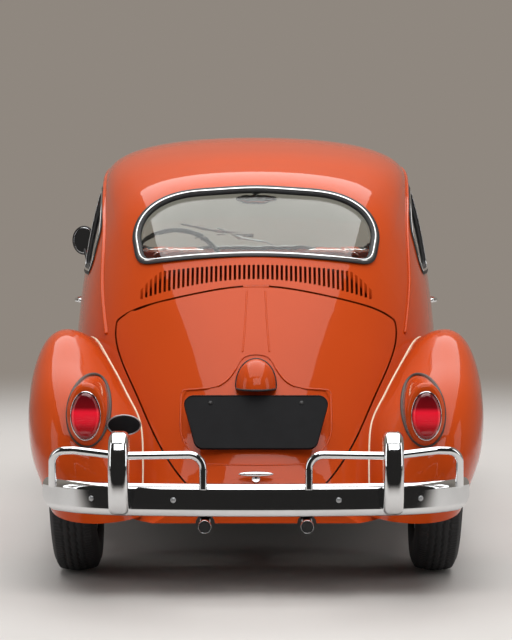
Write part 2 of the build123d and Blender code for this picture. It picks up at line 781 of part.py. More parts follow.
def wing(fan, axle_y, heading):
    """Sheet lofted through the fan sections, seated on the hull; heading -1 fans rearwards."""
    rows = []
    for angle, *shares in fan:
        turn = math.radians(angle)
        out = Vector(0, heading * math.cos(turn), math.sin(turn))
        hub = Vector(0, axle_y, axle_z)
        points = [(half_width * x, tyre_radius * r) for x, r in shares]
        under = []
        for i, (x, r) in enumerate(points):
            before, after = points[max(i - 1, 0)], points[min(i + 1, 3)]
            run, rise = after[0] - before[0], after[1] - before[1]
            size = math.hypot(run, rise)
            under.append((x + wing_sheet * rise / size, r - wing_sheet * run / size))
        rows.append([hub + Vector(x, 0, 0) + out * r for x, r in points + under[::-1]])
    faces = []
    for span in spans_between([angle for angle, *_ in fan], rows):
        for low, high_end in ((0, 4), (3, 5), (4, 8)):
            faces.append(Face.make_bezier_surface([list(row) for row in span[low:high_end]]))
        faces.append(Face.make_bezier_surface([list(span[7]), list(span[0])]))
    for row in (rows[0], rows[-1]):
        rim_edges = [Edge.make_bezier(*row[:4]), Edge.make_line(row[3], row[4])]
        rim_edges += [Edge.make_bezier(*row[4:]), Edge.make_line(row[7], row[0])]
        faces.append(Face(Wire(rim_edges)))
    with BuildPart() as sheet:
        add(closed_solid(faces))
        add(hull_reach, mode=Mode.SUBTRACT)
        add(block((-half_width, -2 * wheelbase, -1000), (wide(0.2), 2 * wheelbase, 2000)), mode=Mode.SUBTRACT)
    return sheet.part.solids().sort_by(SortBy.VOLUME)[-1]


with BuildPart() as rear_fender_right:
    add(wing(rear_wing_fan, rear_axle_y, -1))

with BuildPart() as rear_fender_left:
    mirror(rear_fender_right.part, about=Plane.YZ)

with BuildPart() as front_fender_right:
    add(wing(front_wing_fan, front_axle_y, 1))

with BuildPart() as front_fender_left:
    mirror(front_fender_right.part, about=Plane.YZ)

# ---------------------------------------------------------------- floor and boards
floor_top, floor_sheet = 215, 25
board_top, board_thick = 305, 16
tunnel_half, tunnel_height = 85, 120
head_half = 110
floor_front, floor_heel, floor_back = 0.178, 0.765, 1.000

with BuildPart() as floor_pan:
    half_floor = wide(0.858)
    with BuildSketch(Plane.YZ) as side_view:
        with BuildLine():
            Polyline(
                (along(floor_front), floor_top - floor_sheet),
                (along(floor_heel), floor_top - floor_sheet),
                (along(floor_heel + 0.035), deck_z - floor_sheet),
                (along(floor_back), deck_z - floor_sheet),
                (along(floor_back), deck_z),
                (along(floor_heel + 0.02), deck_z),
                (along(floor_heel - 0.015), floor_top),
                (along(floor_front), floor_top),
                close=True,
            )
        make_face()
    extrude(amount=half_floor, both=True)
    tunnel_top = floor_top + tunnel_height
    add(block((-tunnel_half, along(floor_heel), floor_top - 1), (tunnel_half, along(floor_front), tunnel_top)))
    add(
        block(
            (-tunnel_half + floor_sheet, along(floor_heel + 0.01), 0),
            (tunnel_half - floor_sheet, along(floor_front) + 1, tunnel_top - floor_sheet),
        ),
        mode=Mode.SUBTRACT,
    )
    sill_band = hull(cabin_stations[:7], sill_z, side_wall + skin_gap, open_bottom)
    add(sill_band, mode=Mode.INTERSECT)
    add(well_skins, mode=Mode.SUBTRACT)
    head_y = beam_y - beam_tube_radius - seat_gap
    add(block((-head_half, along(floor_front) - 40, floor_top - floor_sheet), (head_half, head_y, floor_top)))
    add(block((-head_half, head_y - 50, floor_top - floor_sheet), (head_half, head_y, beam_z[1])))

with BuildPart() as running_boards:
    half_board = block(
        (wide(0.84), along(0.755), board_top - board_thick), (half_width - 10, along(0.2085), board_top), 5
    )
    add(both_sides(half_board - hull_reach))
    for piece in (front_fender_right, front_fender_left, rear_fender_right, rear_fender_left):
        for gap in (-seat_gap, seat_gap):
            add(piece.part.moved(Location((0, gap, 0))), mode=Mode.SUBTRACT)

# ---------------------------------------------------------------- bumpers
def bumper_band(tip_y, heading, half_span, start, end):
    """Plan outline of a bumper: a flat middle arc and two tight ends, between two depths."""
    turn = math.degrees(math.asin(bumper_flat / bumper_sweep))
    last = math.sin(math.radians(turn)) + (half_span - bumper_flat) / bumper_corner
    sweep_angle = math.degrees(math.asin(min(last, 0.98))) - turn
    middle = Vector(0, tip_y - heading * bumper_sweep)
    ahead = 90 * heading
    lines = []
    for depth in (start, end):
        center_arc = CenterArc(middle, bumper_sweep - depth, ahead - turn, 2 * turn, mode=Mode.PRIVATE)
        ends = []
        for side in (-1, 1):
            join = math.radians(ahead + side * turn)
            hub = middle + Vector(math.cos(join), math.sin(join)) * (bumper_sweep - bumper_corner)
            arc = CenterArc(hub, bumper_corner - depth, ahead + side * turn, side * sweep_angle, mode=Mode.PRIVATE)
            ends.append(arc)
        lines.append((ends[0], center_arc, ends[1]))
    edges = [edge for trio in lines for curve in trio for edge in curve.edges()]
    edges.append(Edge.make_line(lines[0][0] @ 1, lines[1][0] @ 1))
    edges.append(Edge.make_line(lines[0][2] @ 1, lines[1][2] @ 1))
    return Face(Wire(edges))


def bumper(tip_y, heading, half_span, z, guard_x, guard_z):
    """Curved C-section blade with guards and over-rails; heading is +1 at the nose."""
    with BuildPart() as blade:
        with BuildSketch(Plane.XY.offset(z - bumper_height / 2)):
            add(bumper_band(tip_y, heading, half_span, 0, bumper_depth))
        extrude(amount=bumper_height)
        outer = [e for e in blade.edges().filter_by(GeomType.CIRCLE) if abs(e.radius - bumper_sweep) < 0.1
                 or abs(e.radius - bumper_corner) < 0.1]
        fillet(outer, 24)
    with BuildPart() as channel:
        with BuildSketch(Plane.XY.offset(z - bumper_height / 2 + bumper_sheet)):
            add(bumper_band(tip_y, heading, half_span, bumper_sheet, 2 * bumper_depth))
        extrude(amount=bumper_height - 2 * bumper_sheet)
        inner = [e for e in channel.edges().filter_by(GeomType.CIRCLE)
                 if abs(e.radius - bumper_sweep + bumper_sheet) < 0.1
                 or abs(e.radius - bumper_corner + bumper_sheet) < 0.1]
        fillet(inner, 20)
    with BuildPart() as end_view:
        with BuildSketch(Plane.XZ):
            with Locations((0, z)):
                Rectangle(2 * half_span + 6, bumper_height + 6)
        extrude(amount=overall_length, both=True)
        fillet(end_view.edges().filter_by(Axis.Y).group_by(Axis.Z)[0], 66)
        fillet(end_view.edges().filter_by(Axis.Y).group_by(Axis.Z)[-1], 30)
    whole = (blade.part - channel.part) & end_view.part
    guard_face = heading * overall_length / 2
    back = tip_y - heading * (guard_x**2 / (2 * bumper_sweep) + bumper_sheet / 2)
    with BuildPart() as guard:
        with BuildSketch(Plane.YZ.offset(guard_x - guard_width / 2)):
            with BuildLine():
                Spline(
                    (back, guard_z[1]),
                    (guard_face - heading * 34, guard_z[1] - 16),
                    (guard_face, (guard_z[0] + guard_z[1]) / 2),
                    (guard_face - heading * 38, guard_z[0] + 8),
                    (back, guard_z[0]),
                )
                Line((back, guard_z[0]), (back, guard_z[1]))
            make_face()
        extrude(amount=guard_width)
        fillet(guard.edges().filter_by(GeomType.BSPLINE), 20)
    whole += both_sides(guard.part)
    rail_y = guard_face - heading * 52
    rail_z = guard_z[1] - 72
    out_x = half_span - 45
    foot_z = z + bumper_height / 2 - 14
    path = [
        (rail_foot, rail_y - heading * 16, foot_z),
        (rail_foot, rail_y - heading * 16, rail_z),
        (guard_x, rail_y, rail_z - 2),
        (out_x - 70, rail_y - heading * 30, rail_z + 12),
        (out_x, rail_y - heading * 50, rail_z + 8),
        (out_x + 4, rail_y - heading * 92, foot_z),
    ]
    whole += both_sides(rod((path, 46), rail_radius))
    return whole


bumper_proud = 60
rear_bumper_y = -overall_length / 2 + bumper_proud
front_bumper_y = overall_length / 2 - bumper_proud
bracket_x = 0.6 * belt_half_width


def bumper_brackets(tip_y, heading, x, z, wing_piece):
    """Flat irons from the blade to the wings, on both sides."""
    start = tip_y - heading * (x**2 / (2 * bumper_sweep) + bumper_sheet / 2)
    faces = []
    for dx in (-bracket_half, bracket_half):
        for dz in (-bracket_rise, bracket_rise):
            hits = wing_piece.part.find_intersection_points(Axis((x + dx, 0, z + dz), (0, 1, 0)))
            faces += [heading * point.Y for point, _ in hits]
    end = heading * (max(faces) + skin_gap)
    low = (x - bracket_half, min(start, end), z - bracket_rise)
    top = (x + bracket_half, max(start, end), z + bracket_rise)
    return both_sides(block(low, top))


bracket_half, bracket_rise = 22, 16

with BuildPart() as rear_bumper:
    add(bumper(rear_bumper_y, -1, 0.89 * half_width, rear_bumper_z, 430, (308, 568)))
    add(bumper_brackets(rear_bumper_y, -1, bracket_x, rear_bumper_z, rear_fender_right))

with BuildPart() as front_bumper:
    add(bumper(front_bumper_y, 1, 0.87 * half_width, front_bumper_z, 400, (355, 610)))
    add(bumper_brackets(front_bumper_y, 1, bracket_x, front_bumper_z, front_fender_right))

# ---------------------------------------------------------------- lamps
tail_lamp_x, tail_lamp_z = 549, 595
head_lamp_x, head_lamp_z = 512, 645


def lamp_outline(plane, width, height):
    """Oval lamp outline on a plane."""
    with BuildSketch(plane) as oval:
        Ellipse(width / 2, height / 2)
    return oval.sketch


lamp_back_plane = Plane((tail_lamp_x, rear_axle_y - 300, tail_lamp_z), x_dir=(1, 0, 0), z_dir=(0, -1, 0))
lamp_face_y = -overall_length / 2 + 338

with BuildPart() as lamp_body_right:
    depth = rear_axle_y - 300 - lamp_face_y
    extrude(lamp_outline(lamp_back_plane, 128, 206), amount=depth)
    fillet(lamp_body_right.faces().sort_by(Axis.Y)[0].edges(), 18)

# ---------------------------------------------------------------- wheels
wheel_half = tyre_width / 2


def tyre():
    """Hollow tyre about the X axis, its middle at the origin."""
    bead = rim_radius + 0.3
    with BuildPart() as ring:
        with BuildSketch(Plane.XY) as profile:
            with BuildLine():
                right = [
                    (0.71 * wheel_half, bead + 15),
                    (0.93 * wheel_half, bead + 34),
                    (wheel_half, 0.5 * (bead + tyre_radius)),
                    (0.95 * wheel_half, tyre_radius - 35),
                    (0.80 * wheel_half, tyre_radius - 11),
                ]
                flank = Spline(*right)
                crown_edge = flank @ 1
                ThreePointArc(crown_edge, (0, tyre_radius), (-crown_edge.X, crown_edge.Y))
                Spline(*[(-x, r) for x, r in right])
                Line((0.71 * wheel_half, bead + 15), (0.71 * wheel_half, bead))
                Line((-0.71 * wheel_half, bead + 15), (-0.71 * wheel_half, bead))
                wall = tyre_wall
                inside = [
                    (0.71 * wheel_half - wall, bead + 14),
                    (0.93 * wheel_half - wall, bead + 38),
                    (wheel_half - wall, 0.5 * (bead + tyre_radius)),
                    (0.78 * wheel_half - wall, tyre_radius - 30),
                    (0, tyre_radius - 1.2 * wall),
                ]
                full = inside + [(-x, r) for x, r in inside[-2::-1]]
                Spline(*full)
                Line((0.71 * wheel_half, bead), (0.71 * wheel_half - wall, bead))
                Line((0.71 * wheel_half - wall, bead), inside[0])
                Line((-0.71 * wheel_half, bead), (-0.71 * wheel_half + wall, bead))
                Line((-0.71 * wheel_half + wall, bead), full[-1])
            make_face()
        revolve(axis=Axis.X)
    return ring.part


rim_gauge = 4
disc_at = 8
drum_radius, drum_depth = 118, 42


def rim():
    """Pressed rim with its disc and brake drum, bored for the spindle."""
    edge = 0.71 * wheel_half + 0.6
    with BuildPart() as shell:
        with BuildSketch(Plane.XY):
            with BuildLine():
                Polyline(
                    (-edge - 4, rim_radius + 14), (-edge, rim_radius + 14), (-edge, rim_radius),
                    (edge, rim_radius), (edge, rim_radius + 14), (edge + 4, rim_radius + 14),
                    (edge + 4, rim_radius - rim_gauge), (-edge - 4, rim_radius - rim_gauge), close=True,
                )
            make_face()
        revolve(axis=Axis.X)
        with BuildSketch(Plane.XY):
            with BuildLine():
                Polyline(
                    (disc_at - drum_depth, spindle_radius + pin_fit), (disc_at - drum_depth, drum_radius - 6),
                    (disc_at - drum_depth + 6, drum_radius), (disc_at - 1, drum_radius),
                    (disc_at + 10, 150), (disc_at - 2, rim_radius - rim_gauge + 1),
                    (disc_at + 4, rim_radius - rim_gauge + 1), (disc_at + 15, 150), (disc_at + 4, 112),
                    (disc_at + 4, spindle_radius + pin_fit), close=True,
                )
            make_face()
        revolve(axis=Axis.X)
    return shell.part


cap_radius, cap_dome, cap_sheet = 104, 34, 3


def hubcap():
    """Domed hub cap, part of a ball, that sits on the wheel's disc."""
    seat = disc_at + 4 + seat_gap
    ball = (cap_radius**2 + cap_dome**2) / (2 * cap_dome)
    half_turn = 0.5 * math.asin(cap_radius / ball)

    def cap_point(depth):
        small = ball - depth
        return (seat + cap_dome - ball + small * math.cos(half_turn), small * math.sin(half_turn))

    with BuildPart() as dome:
        with BuildSketch(Plane.XY):
            with BuildLine():
                outer = ThreePointArc((seat, cap_radius), cap_point(0), (seat + cap_dome, 0))
                inner_edge = math.sqrt((ball - cap_sheet) ** 2 - (ball - cap_dome) ** 2)
                inner = ThreePointArc((seat, inner_edge), cap_point(cap_sheet), (seat + cap_dome - cap_sheet, 0))
                Line(outer @ 0, inner @ 0)
                Line(outer @ 1, inner @ 1)
            make_face()
        revolve(axis=Axis.X)
    return dome.part


def wheel_place(x, y, z, camber):
    """Where a right-hand wheel goes; a left one is its mirror image."""
    return Location((x, y, z), (0, camber, 0))


front_wheel = wheel_place(front_track / 2, front_axle_y, axle_z, 0)
rear_wheel = wheel_place(rear_track / 2, rear_axle_y, axle_z, rear_camber)
tyre_shape, rim_shape, hubcap_shape = tyre(), rim(), hubcap()

with BuildPart() as tyre_front_right:
    add(tyre_shape.moved(front_wheel))
with BuildPart() as rim_front_right:
    add(rim_shape.moved(front_wheel))
with BuildPart() as hubcap_front_right:
    add(hubcap_shape.moved(front_wheel))
with BuildPart() as tyre_rear_right:
    add(tyre_shape.moved(rear_wheel))
with BuildPart() as rim_rear_right:
    add(rim_shape.moved(rear_wheel))
with BuildPart() as hubcap_rear_right:
    add(hubcap_shape.moved(rear_wheel))
with BuildPart() as tyre_front_left:
    mirror(tyre_front_right.part, about=Plane.YZ)
with BuildPart() as rim_front_left:
    mirror(rim_front_right.part, about=Plane.YZ)
with BuildPart() as hubcap_front_left:
    mirror(hubcap_front_right.part, about=Plane.YZ)
with BuildPart() as tyre_rear_left:
    mirror(tyre_rear_right.part, about=Plane.YZ)
with BuildPart() as rim_rear_left:
    mirror(rim_rear_right.part, about=Plane.YZ)
with BuildPart() as hubcap_rear_left:
    mirror(hubcap_rear_right.part, about=Plane.YZ)

# ---------------------------------------------------------------- front suspension
kingpin_x = front_track / 2 - kingpin_offset
lug_height = 22
lug_radius = 22
beam_half = 430

with BuildPart() as front_axle_beam:
    for z in beam_z:
        add(cylinder((-beam_half, beam_y, z), (1, 0, 0), beam_tube_radius, 2 * beam_half))
        with BuildSketch(Plane.XY.offset(z - lug_height / 2)):
            with BuildLine():
                Polyline(
                    (beam_half - 26, beam_y + 14), (beam_half + 4, beam_y + 14), (kingpin_x + 10, front_axle_y + 20),
                    (kingpin_x - 4, front_axle_y - 20), (kingpin_x - 22, front_axle_y - 8),
                    (beam_half - 26, beam_y - 24), close=True,
                )
            make_face()
            with Locations((kingpin_x, front_axle_y)):
                Circle(lug_radius)
            mirror(about=Plane.YZ)
        extrude(amount=lug_height)
    for x in (0.3 * beam_half, 0.8 * beam_half):
        for side in (-1, 1):
            center = side * x
            add(block((center - 14, beam_y - 26, beam_z[0]), (center + 14, beam_y + 26, beam_z[1] + 52)))
    for side in (-1, 1):
        with Locations((side * kingpin_x, front_axle_y, axle_z)):
            Cylinder(kingpin_radius + pin_fit, 2 * axle_z, mode=Mode.SUBTRACT)

with BuildPart() as knuckle_front_right:
    with Locations((kingpin_x, front_axle_y, (beam_z[0] + beam_z[1]) / 2)):
        Cylinder(kingpin_radius, beam_z[1] - beam_z[0] + lug_height + 8)
        Cylinder(24, beam_z[1] - beam_z[0] - lug_height - 4)
    add(cylinder((kingpin_x, front_axle_y, axle_z), (1, 0, 0), spindle_radius, kingpin_offset + disc_at + 4 - 1))
    add(cylinder((kingpin_x + 10, front_axle_y, axle_z), (1, 0, 0), 34, kingpin_offset + disc_at - drum_depth - 12))
    add(block((kingpin_x - 12, front_axle_y - 105, axle_z - 42), (kingpin_x + 12, front_axle_y, axle_z - 26), 4))

with BuildPart() as knuckle_front_left:
    mirror(knuckle_front_right.part, about=Plane.YZ)

# ---------------------------------------------------------------- rear axle
gearbox_half, bell_depth, gearbox_length = 130, 50, 380
axle_run = Vector(math.cos(math.radians(rear_camber)), 0, -math.sin(math.radians(rear_camber)))
hub_center = Vector(rear_track / 2, rear_axle_y, axle_z)
engine_front, engine_back = 1.0235, 1.150

with BuildPart() as rear_axle:
    with BuildSketch(Plane.XZ.offset(-along(engine_front) - seat_gap)):
        with Locations((0, axle_z + 15)):
            RectangleRounded(2 * gearbox_half, 190, 40)
    extrude(amount=-bell_depth)
    with BuildSketch(Plane.XZ.offset(-along(engine_front) - seat_gap - bell_depth)):
        with Locations((0, axle_z + 10)):
            RectangleRounded(1.55 * gearbox_half, 160, 50)
    extrude(amount=-gearbox_length)
    top_z = deck_z - floor_sheet - seat_gap
    add(block((-0.5 * gearbox_half, along(0.92), axle_z), (0.5 * gearbox_half, along(0.88), top_z)))
    half_box = hub_center - axle_run * (rear_track / 2 - 60)
    swing = cylinder(half_box, axle_run, axle_tube_radius, rear_track / 2 - 60 - 40)
    plate = cylinder(hub_center - axle_run * 46, axle_run, drum_radius + 6, 6)
    tip = cylinder(hub_center - axle_run * 60, axle_run, spindle_radius, 60 + disc_at + 4 - 1)
    boot = cylinder(hub_center - axle_run * (rear_track / 2 - gearbox_half + 8), axle_run, 52, 74)
    add(both_sides(swing + plate + tip + boot))

# ---------------------------------------------------------------- engine and exhaust
engine_width, engine_floor, engine_height = 620, 285, 230
muffler_radius, muffler_half = 58, 270
muffler_y, muffler_z = along(1.180), 325

with BuildPart() as engine:
    with Locations((0, along((engine_front + engine_back) / 2), engine_floor + engine_height / 2)):
        Box(engine_width, (engine_back - engine_front) * wheelbase, engine_height)
    fillet(engine.edges().filter_by(Axis.Y), 45)

with BuildPart() as exhaust:
    add(cylinder((-muffler_half, muffler_y, muffler_z), (1, 0, 0), muffler_radius, 2 * muffler_half))
    fillet(exhaust.edges().filter_by(GeomType.CIRCLE), 18)
    tail_end, tail_run = -overall_length / 2 + 265, 120
    for side in (-1, 1):
        stub_y = along(engine_back) - seat_gap
        add(cylinder((side * 0.7 * muffler_half, muffler_y, muffler_z + 15), (0, 1, 0), 22, stub_y - muffler_y))
    drop_path = [
        (tailpipe_offset, muffler_y - 20, muffler_z - 20),
        (tailpipe_offset, muffler_y - 60, tailpipe_z),
        (tailpipe_offset, tail_end + tail_run, tailpipe_z),
    ]
    tail_tube = cylinder((tailpipe_offset, tail_end, tailpipe_z), (0, 1, 0), tailpipe_radius, tail_run)
    add(both_sides(rod((drop_path, 34), tailpipe_radius) + tail_tube))
    for side in (-1, 1):
        add(
            cylinder((side * tailpipe_offset, tail_end - 1, tailpipe_z), (0, 1, 0), tailpipe_bore, 90),
            mode=Mode.SUBTRACT,
        )

# ---------------------------------------------------------------- cabin
dash_front, dash_rear, dash_low, dash_top = 0.181, 0.244, 0.550, 0.672
dash_room = 16
column_x, wheel_rim_radius, grip_radius = -330, 195, 10
column_rake = 38

with BuildPart() as dashboard:
    with BuildSketch(Plane.YZ):
        with BuildLine():
            Polyline(
                (along(dash_front), high(dash_low)), (along(dash_rear), high(dash_low)),
                (along(dash_rear), high(dash_top - 0.012)), (along(dash_rear - 0.008), high(dash_top)),
                (along(dash_front), high(dash_top)), close=True,
            )
        make_face()
    extrude(amount=wide(0.9), both=True)
    add(hull(cabin_stations[:4], sill_z, side_wall + dash_room, open_bottom), mode=Mode.INTERSECT)
    add(screen_slab(-4 * half_width, side_wall + seat_gap), mode=Mode.SUBTRACT)

wheel_run = Vector(0, -math.cos(math.radians(column_rake)), math.sin(math.radians(column_rake)))
steering_center = Vector(column_x, along(0.345), high(0.650))
column_radius = 20
with BuildPart() as steering_column:
    foot = steering_center - wheel_run * 330
    add(cylinder(foot, wheel_run, column_radius, 330 - 34))
    add(cylinder(foot, wheel_run, 8, 330 - 8))
    low = (column_x - 26, along(dash_rear) - 2, high(dash_low) - 26)
    add(block(low, (column_x + 26, along(dash_front) - 40, high(dash_low) - seat_gap)))

with BuildPart() as steering_wheel:
    wheel_plane = Plane(steering_center, x_dir=(1, 0, 0), z_dir=wheel_run)
    with BuildSketch(Plane(steering_center, x_dir=(1, 0, 0), z_dir=wheel_plane.y_dir)):
        with Locations((wheel_rim_radius, 0)):
            Circle(grip_radius)
    revolve(axis=Axis(steering_center, wheel_run))
    add(cylinder(steering_center - wheel_run * 32, wheel_run, 30, 26))
    with BuildSketch(Plane(steering_center - wheel_run * 8, x_dir=(1, 0, 0), z_dir=wheel_run)):
        Rectangle(2 * wheel_rim_radius - 4, 30)
        with Locations((0, -wheel_rim_radius / 2)):
            Rectangle(26, wheel_rim_radius - 4)
    extrude(amount=6)
    add(cylinder(steering_center - wheel_run * 33, wheel_run, 8 + pin_fit, 26), mode=Mode.SUBTRACT)

seat_width, seat_pad_edge = 466, 34
bench_thick = 97
seat_offset = 336
runner_width = 26


def seat_profile(points, x, width, radius):
    """Padded block across the car from its side outline, given as (along, high) shares."""
    with BuildPart() as pad:
        with BuildSketch(Plane.YZ.offset(x - width / 2)):
            with BuildLine():
                Polyline(*[(along(a), high(h)) for a, h in points], close=True)
            make_face()
        extrude(amount=width)
        fillet(pad.edges(), radius)
    return pad.part


seat_back_side = [(0.535, 0.262), (0.492, 0.262), (0.545, 0.617), (0.592, 0.617)]
bench_back_side = [(0.846, 0.345), (0.795, 0.345), (0.855, 0.585), (0.905, 0.585)]

with BuildPart() as front_seats:
    for side in (-1, 1):
        x = side * seat_offset
        pad = [(0.550, 0.185), (0.365, 0.190), (0.362, 0.272), (0.550, 0.262)]
        add(seat_profile(pad, x, seat_width, seat_pad_edge))
        add(seat_profile(seat_back_side, x, seat_width, seat_pad_edge))
        for run in (-1, 1):
            left = x + run * 0.34 * seat_width - runner_width / 2
            runner = block(
                (left, along(0.535), floor_top + seat_gap), (left + runner_width, along(0.385), high(0.19))
            )
            add(runner)

with BuildPart() as rear_seat:
    bench_low = (deck_z + seat_gap) / roof_height
    bench_top = bench_low + bench_thick / roof_height
    bench = [(0.850, bench_low), (0.690, bench_low), (0.690, bench_top), (0.850, bench_top - 0.018)]
    add(seat_profile(bench, 0, 2 * wide(0.665), 18))
    add(seat_profile(bench_back_side, 0, 2 * wide(0.665), seat_pad_edge))

with BuildPart() as gear_lever:
    knob_z = floor_top + tunnel_height + 275
    lever_y = along(0.352)
    add(cylinder((0, lever_y, floor_top + tunnel_height + seat_gap), (0, 0, 1), 24, 14))
    path = [
        (0, lever_y, floor_top + tunnel_height + 10),
        (0, lever_y, floor_top + tunnel_height + 120),
        (0, lever_y - 55, knob_z),
    ]
    add(rod((path, 120), 6))
    with Locations((0, lever_y - 55, knob_z)):
        Sphere(19)

# ---------------------------------------------------------------- lamps on the wings
lens_width, lens_height = 88, 150
lens_depth = 26


def lens(plane, width, height, depth):
    """Domed lamp glass on a plane."""
    with BuildPart() as dome:
        extrude(lamp_outline(plane, width, height), amount=depth)
        fillet(dome.faces().sort_by(Axis.Y)[0].edges(), 0.45 * depth)
    return dome.part


def clear_of(shape, others):
    """The shape with room cut for other sheets that pass through it."""
    for other in others:
        for gap in (-seat_gap, 0, seat_gap):
            shape -= other.part.moved(Location((0, gap, 0)))
    return shape


with BuildPart() as taillamps:
    housing = clear_of(lamp_body_right.part - hull_reach, [rear_fender_right])
    add(both_sides(housing.solids().sort_by(Axis.Y)[0]))

with BuildPart() as taillamp_lenses:
    lens_middle = (tail_lamp_x + 2, lamp_face_y - seat_gap, tail_lamp_z - 4)
    face = Plane(lens_middle, x_dir=(1, 0, 0), z_dir=(0, -1, 0))
    add(both_sides(lens(face, lens_width, lens_height, lens_depth)))

head_radius, head_depth = 104, 230
head_face_y = along(-0.2355)

with BuildPart() as headlamps:
    bowl = cylinder((head_lamp_x, head_face_y - head_depth, head_lamp_z), (0, 1, 0), head_radius, head_depth)
    bowl += cylinder((head_lamp_x, head_face_y, head_lamp_z), (0, 1, 0), head_radius - 14, 16)
    bowl = clear_of(bowl - hull_reach, [front_fender_right])
    add(both_sides(bowl.solids().sort_by(Axis.Y)[-1]))

# ---------------------------------------------------------------- number plate, its lamp, lid handle
plate_width, plate_height, plate_thick = 487, 192, 8
plate_z, plate_stand = 549, 12

recess_reach = hull(cabin_stations, sill_z, recess_depth - seat_gap)
plate_top, plate_low = plate_z + plate_height / 2, plate_z - plate_height / 2
plate_fall = skin_y(0, plate_top, -1) - skin_y(0, plate_low, -1)
plate_lean = math.degrees(math.atan2(plate_fall, plate_height))
plate_plane = Plane((0, skin_y(0, plate_z, -1), plate_z), x_dir=(1, 0, 0), z_dir=(0, -1, 0))
plate_plane = plate_plane.rotated((-plate_lean, 0, 0))

with BuildPart() as number_plate:
    with BuildSketch(plate_plane.offset(plate_stand)):
        with BuildLine():
            Polyline(
                (-0.5 * plate_width, plate_height / 2), (0.5 * plate_width, plate_height / 2),
                (0.40 * plate_width, -plate_height / 2), (-0.40 * plate_width, -plate_height / 2), close=True,
            )
        make_face()
    extrude(amount=plate_thick)
    fillet(number_plate.edges().filter_by(lambda e: abs(e.length - plate_thick) < 0.01), 30)
    with BuildSketch(plate_plane.offset(plate_stand + 1)):
        Rectangle(0.42 * plate_width, 0.7 * plate_height)
    extrude(amount=-60)
    add(recess_reach, mode=Mode.SUBTRACT)

nose_z = 672
nose_dome = scale(Sphere(1), by=(66, 66, 92))
nose_dome = nose_dome.moved(Location((0, skin_y(0, nose_z, -1), nose_z), (-plate_lean, 0, 0)))

with BuildPart() as plate_lamp:
    add(nose_dome)
    add(block((-wheelbase, -2 * wheelbase, 0), (wheelbase, wheelbase, nose_z - 12)), mode=Mode.SUBTRACT)
    add(recess_reach, mode=Mode.SUBTRACT)

handle_z = 399
handle_y = skin_y(0, handle_z, -1)
handle_grip = scale(Sphere(1), by=(57, 10, 9)).moved(Location((0, handle_y - 26, handle_z)))

with BuildPart() as lid_handle:
    add(handle_grip)
    add(cylinder((0, handle_y - 28, handle_z + 1), (0, 0.9, -0.435), 8, 50))
    add(cylinder((0, handle_y - 18, handle_z - 14), (0, 0.9, -0.435), 13, 50))
    add(hull_reach, mode=Mode.SUBTRACT)

# ---------------------------------------------------------------- door mirror
mirror_z, mirror_at = 1080, 0.217
mirror_width, mirror_height, mirror_thick = 96, 120, 26

with BuildPart() as mirror_left:
    stem_x = skin_x(0.232, high(0.655))
    head_x = half_width - mirror_width / 2 - 8
    path = [
        (-stem_x + 10, along(0.2345), high(0.648)),
        (-head_x + 20, along(0.2345), high(0.655)),
        (-head_x, along(mirror_at) - 6, mirror_z - 30),
    ]
    add(rod((path, 14), 6))
    mirror_back = (-head_x, along(mirror_at) - mirror_thick / 2, mirror_z)
    with BuildSketch(Plane(mirror_back, x_dir=(1, 0, 0), z_dir=(0, 1, 0))):
        Ellipse(mirror_width / 2, mirror_height / 2)
    extrude(amount=mirror_thick)
    fillet(mirror_left.faces().sort_by(Axis.Y)[-1].edges(), 10)
    add(door_left.part, mode=Mode.SUBTRACT)

pieces = {
    "body_shell": body_shell,
    "floor_pan": floor_pan,
    "front_fender_right": front_fender_right,
    "front_fender_left": front_fender_left,
    "rear_fender_right": rear_fender_right,
    "rear_fender_left": rear_fender_left,
    "running_boards": running_boards,
    "front_bumper": front_bumper,
    "rear_bumper": rear_bumper,
    "windshield": windshield,
    "rear_window": rear_window,
    "quarter_windows": quarter_windows,
    "headlamps": headlamps,
    "taillamps": taillamps,
    "taillamp_lenses": taillamp_lenses,
    "front_seats": front_seats,
    "rear_seat": rear_seat,
    "dashboard": dashboard,
    "steering_column": steering_column,
    "steering_wheel": steering_wheel,
    "gear_lever": gear_lever,
    "front_axle_beam": front_axle_beam,
    "rear_axle": rear_axle,
    "engine": engine,
    "exhaust": exhaust,
    "door_right": door_right,
    "door_left": door_left,
    "door_glass_right": door_glass_right,
    "door_glass_left": door_glass_left,
    "mirror_left": mirror_left,
    "hood": hood,
    "engine_lid": engine_lid,
    "number_plate": number_plate,
    "plate_lamp": plate_lamp,
    "lid_handle": lid_handle,
    "knuckle_front_right": knuckle_front_right,
    "knuckle_front_left": knuckle_front_left,
    "tyre_front_right": tyre_front_right,
    "tyre_front_left": tyre_front_left,
    "tyre_rear_right": tyre_rear_right,
    "tyre_rear_left": tyre_rear_left,
    "rim_front_right": rim_front_right,
    "rim_front_left": rim_front_left,
    "rim_rear_right": rim_rear_right,
    "rim_rear_left": rim_rear_left,
    "hubcap_front_right": hubcap_front_right,
    "hubcap_front_left": hubcap_front_left,
    "hubcap_rear_right": hubcap_rear_right,
    "hubcap_rear_left": hubcap_rear_left,
}

for name, piece in pieces.items():
    piece.part.label = name
    export_step(piece.part, f"parts/{name}.step")
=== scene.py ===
import json
import math
import bmesh
import bpy
import numpy as np
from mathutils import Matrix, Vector
from mathutils.bvhtree import BVHTree


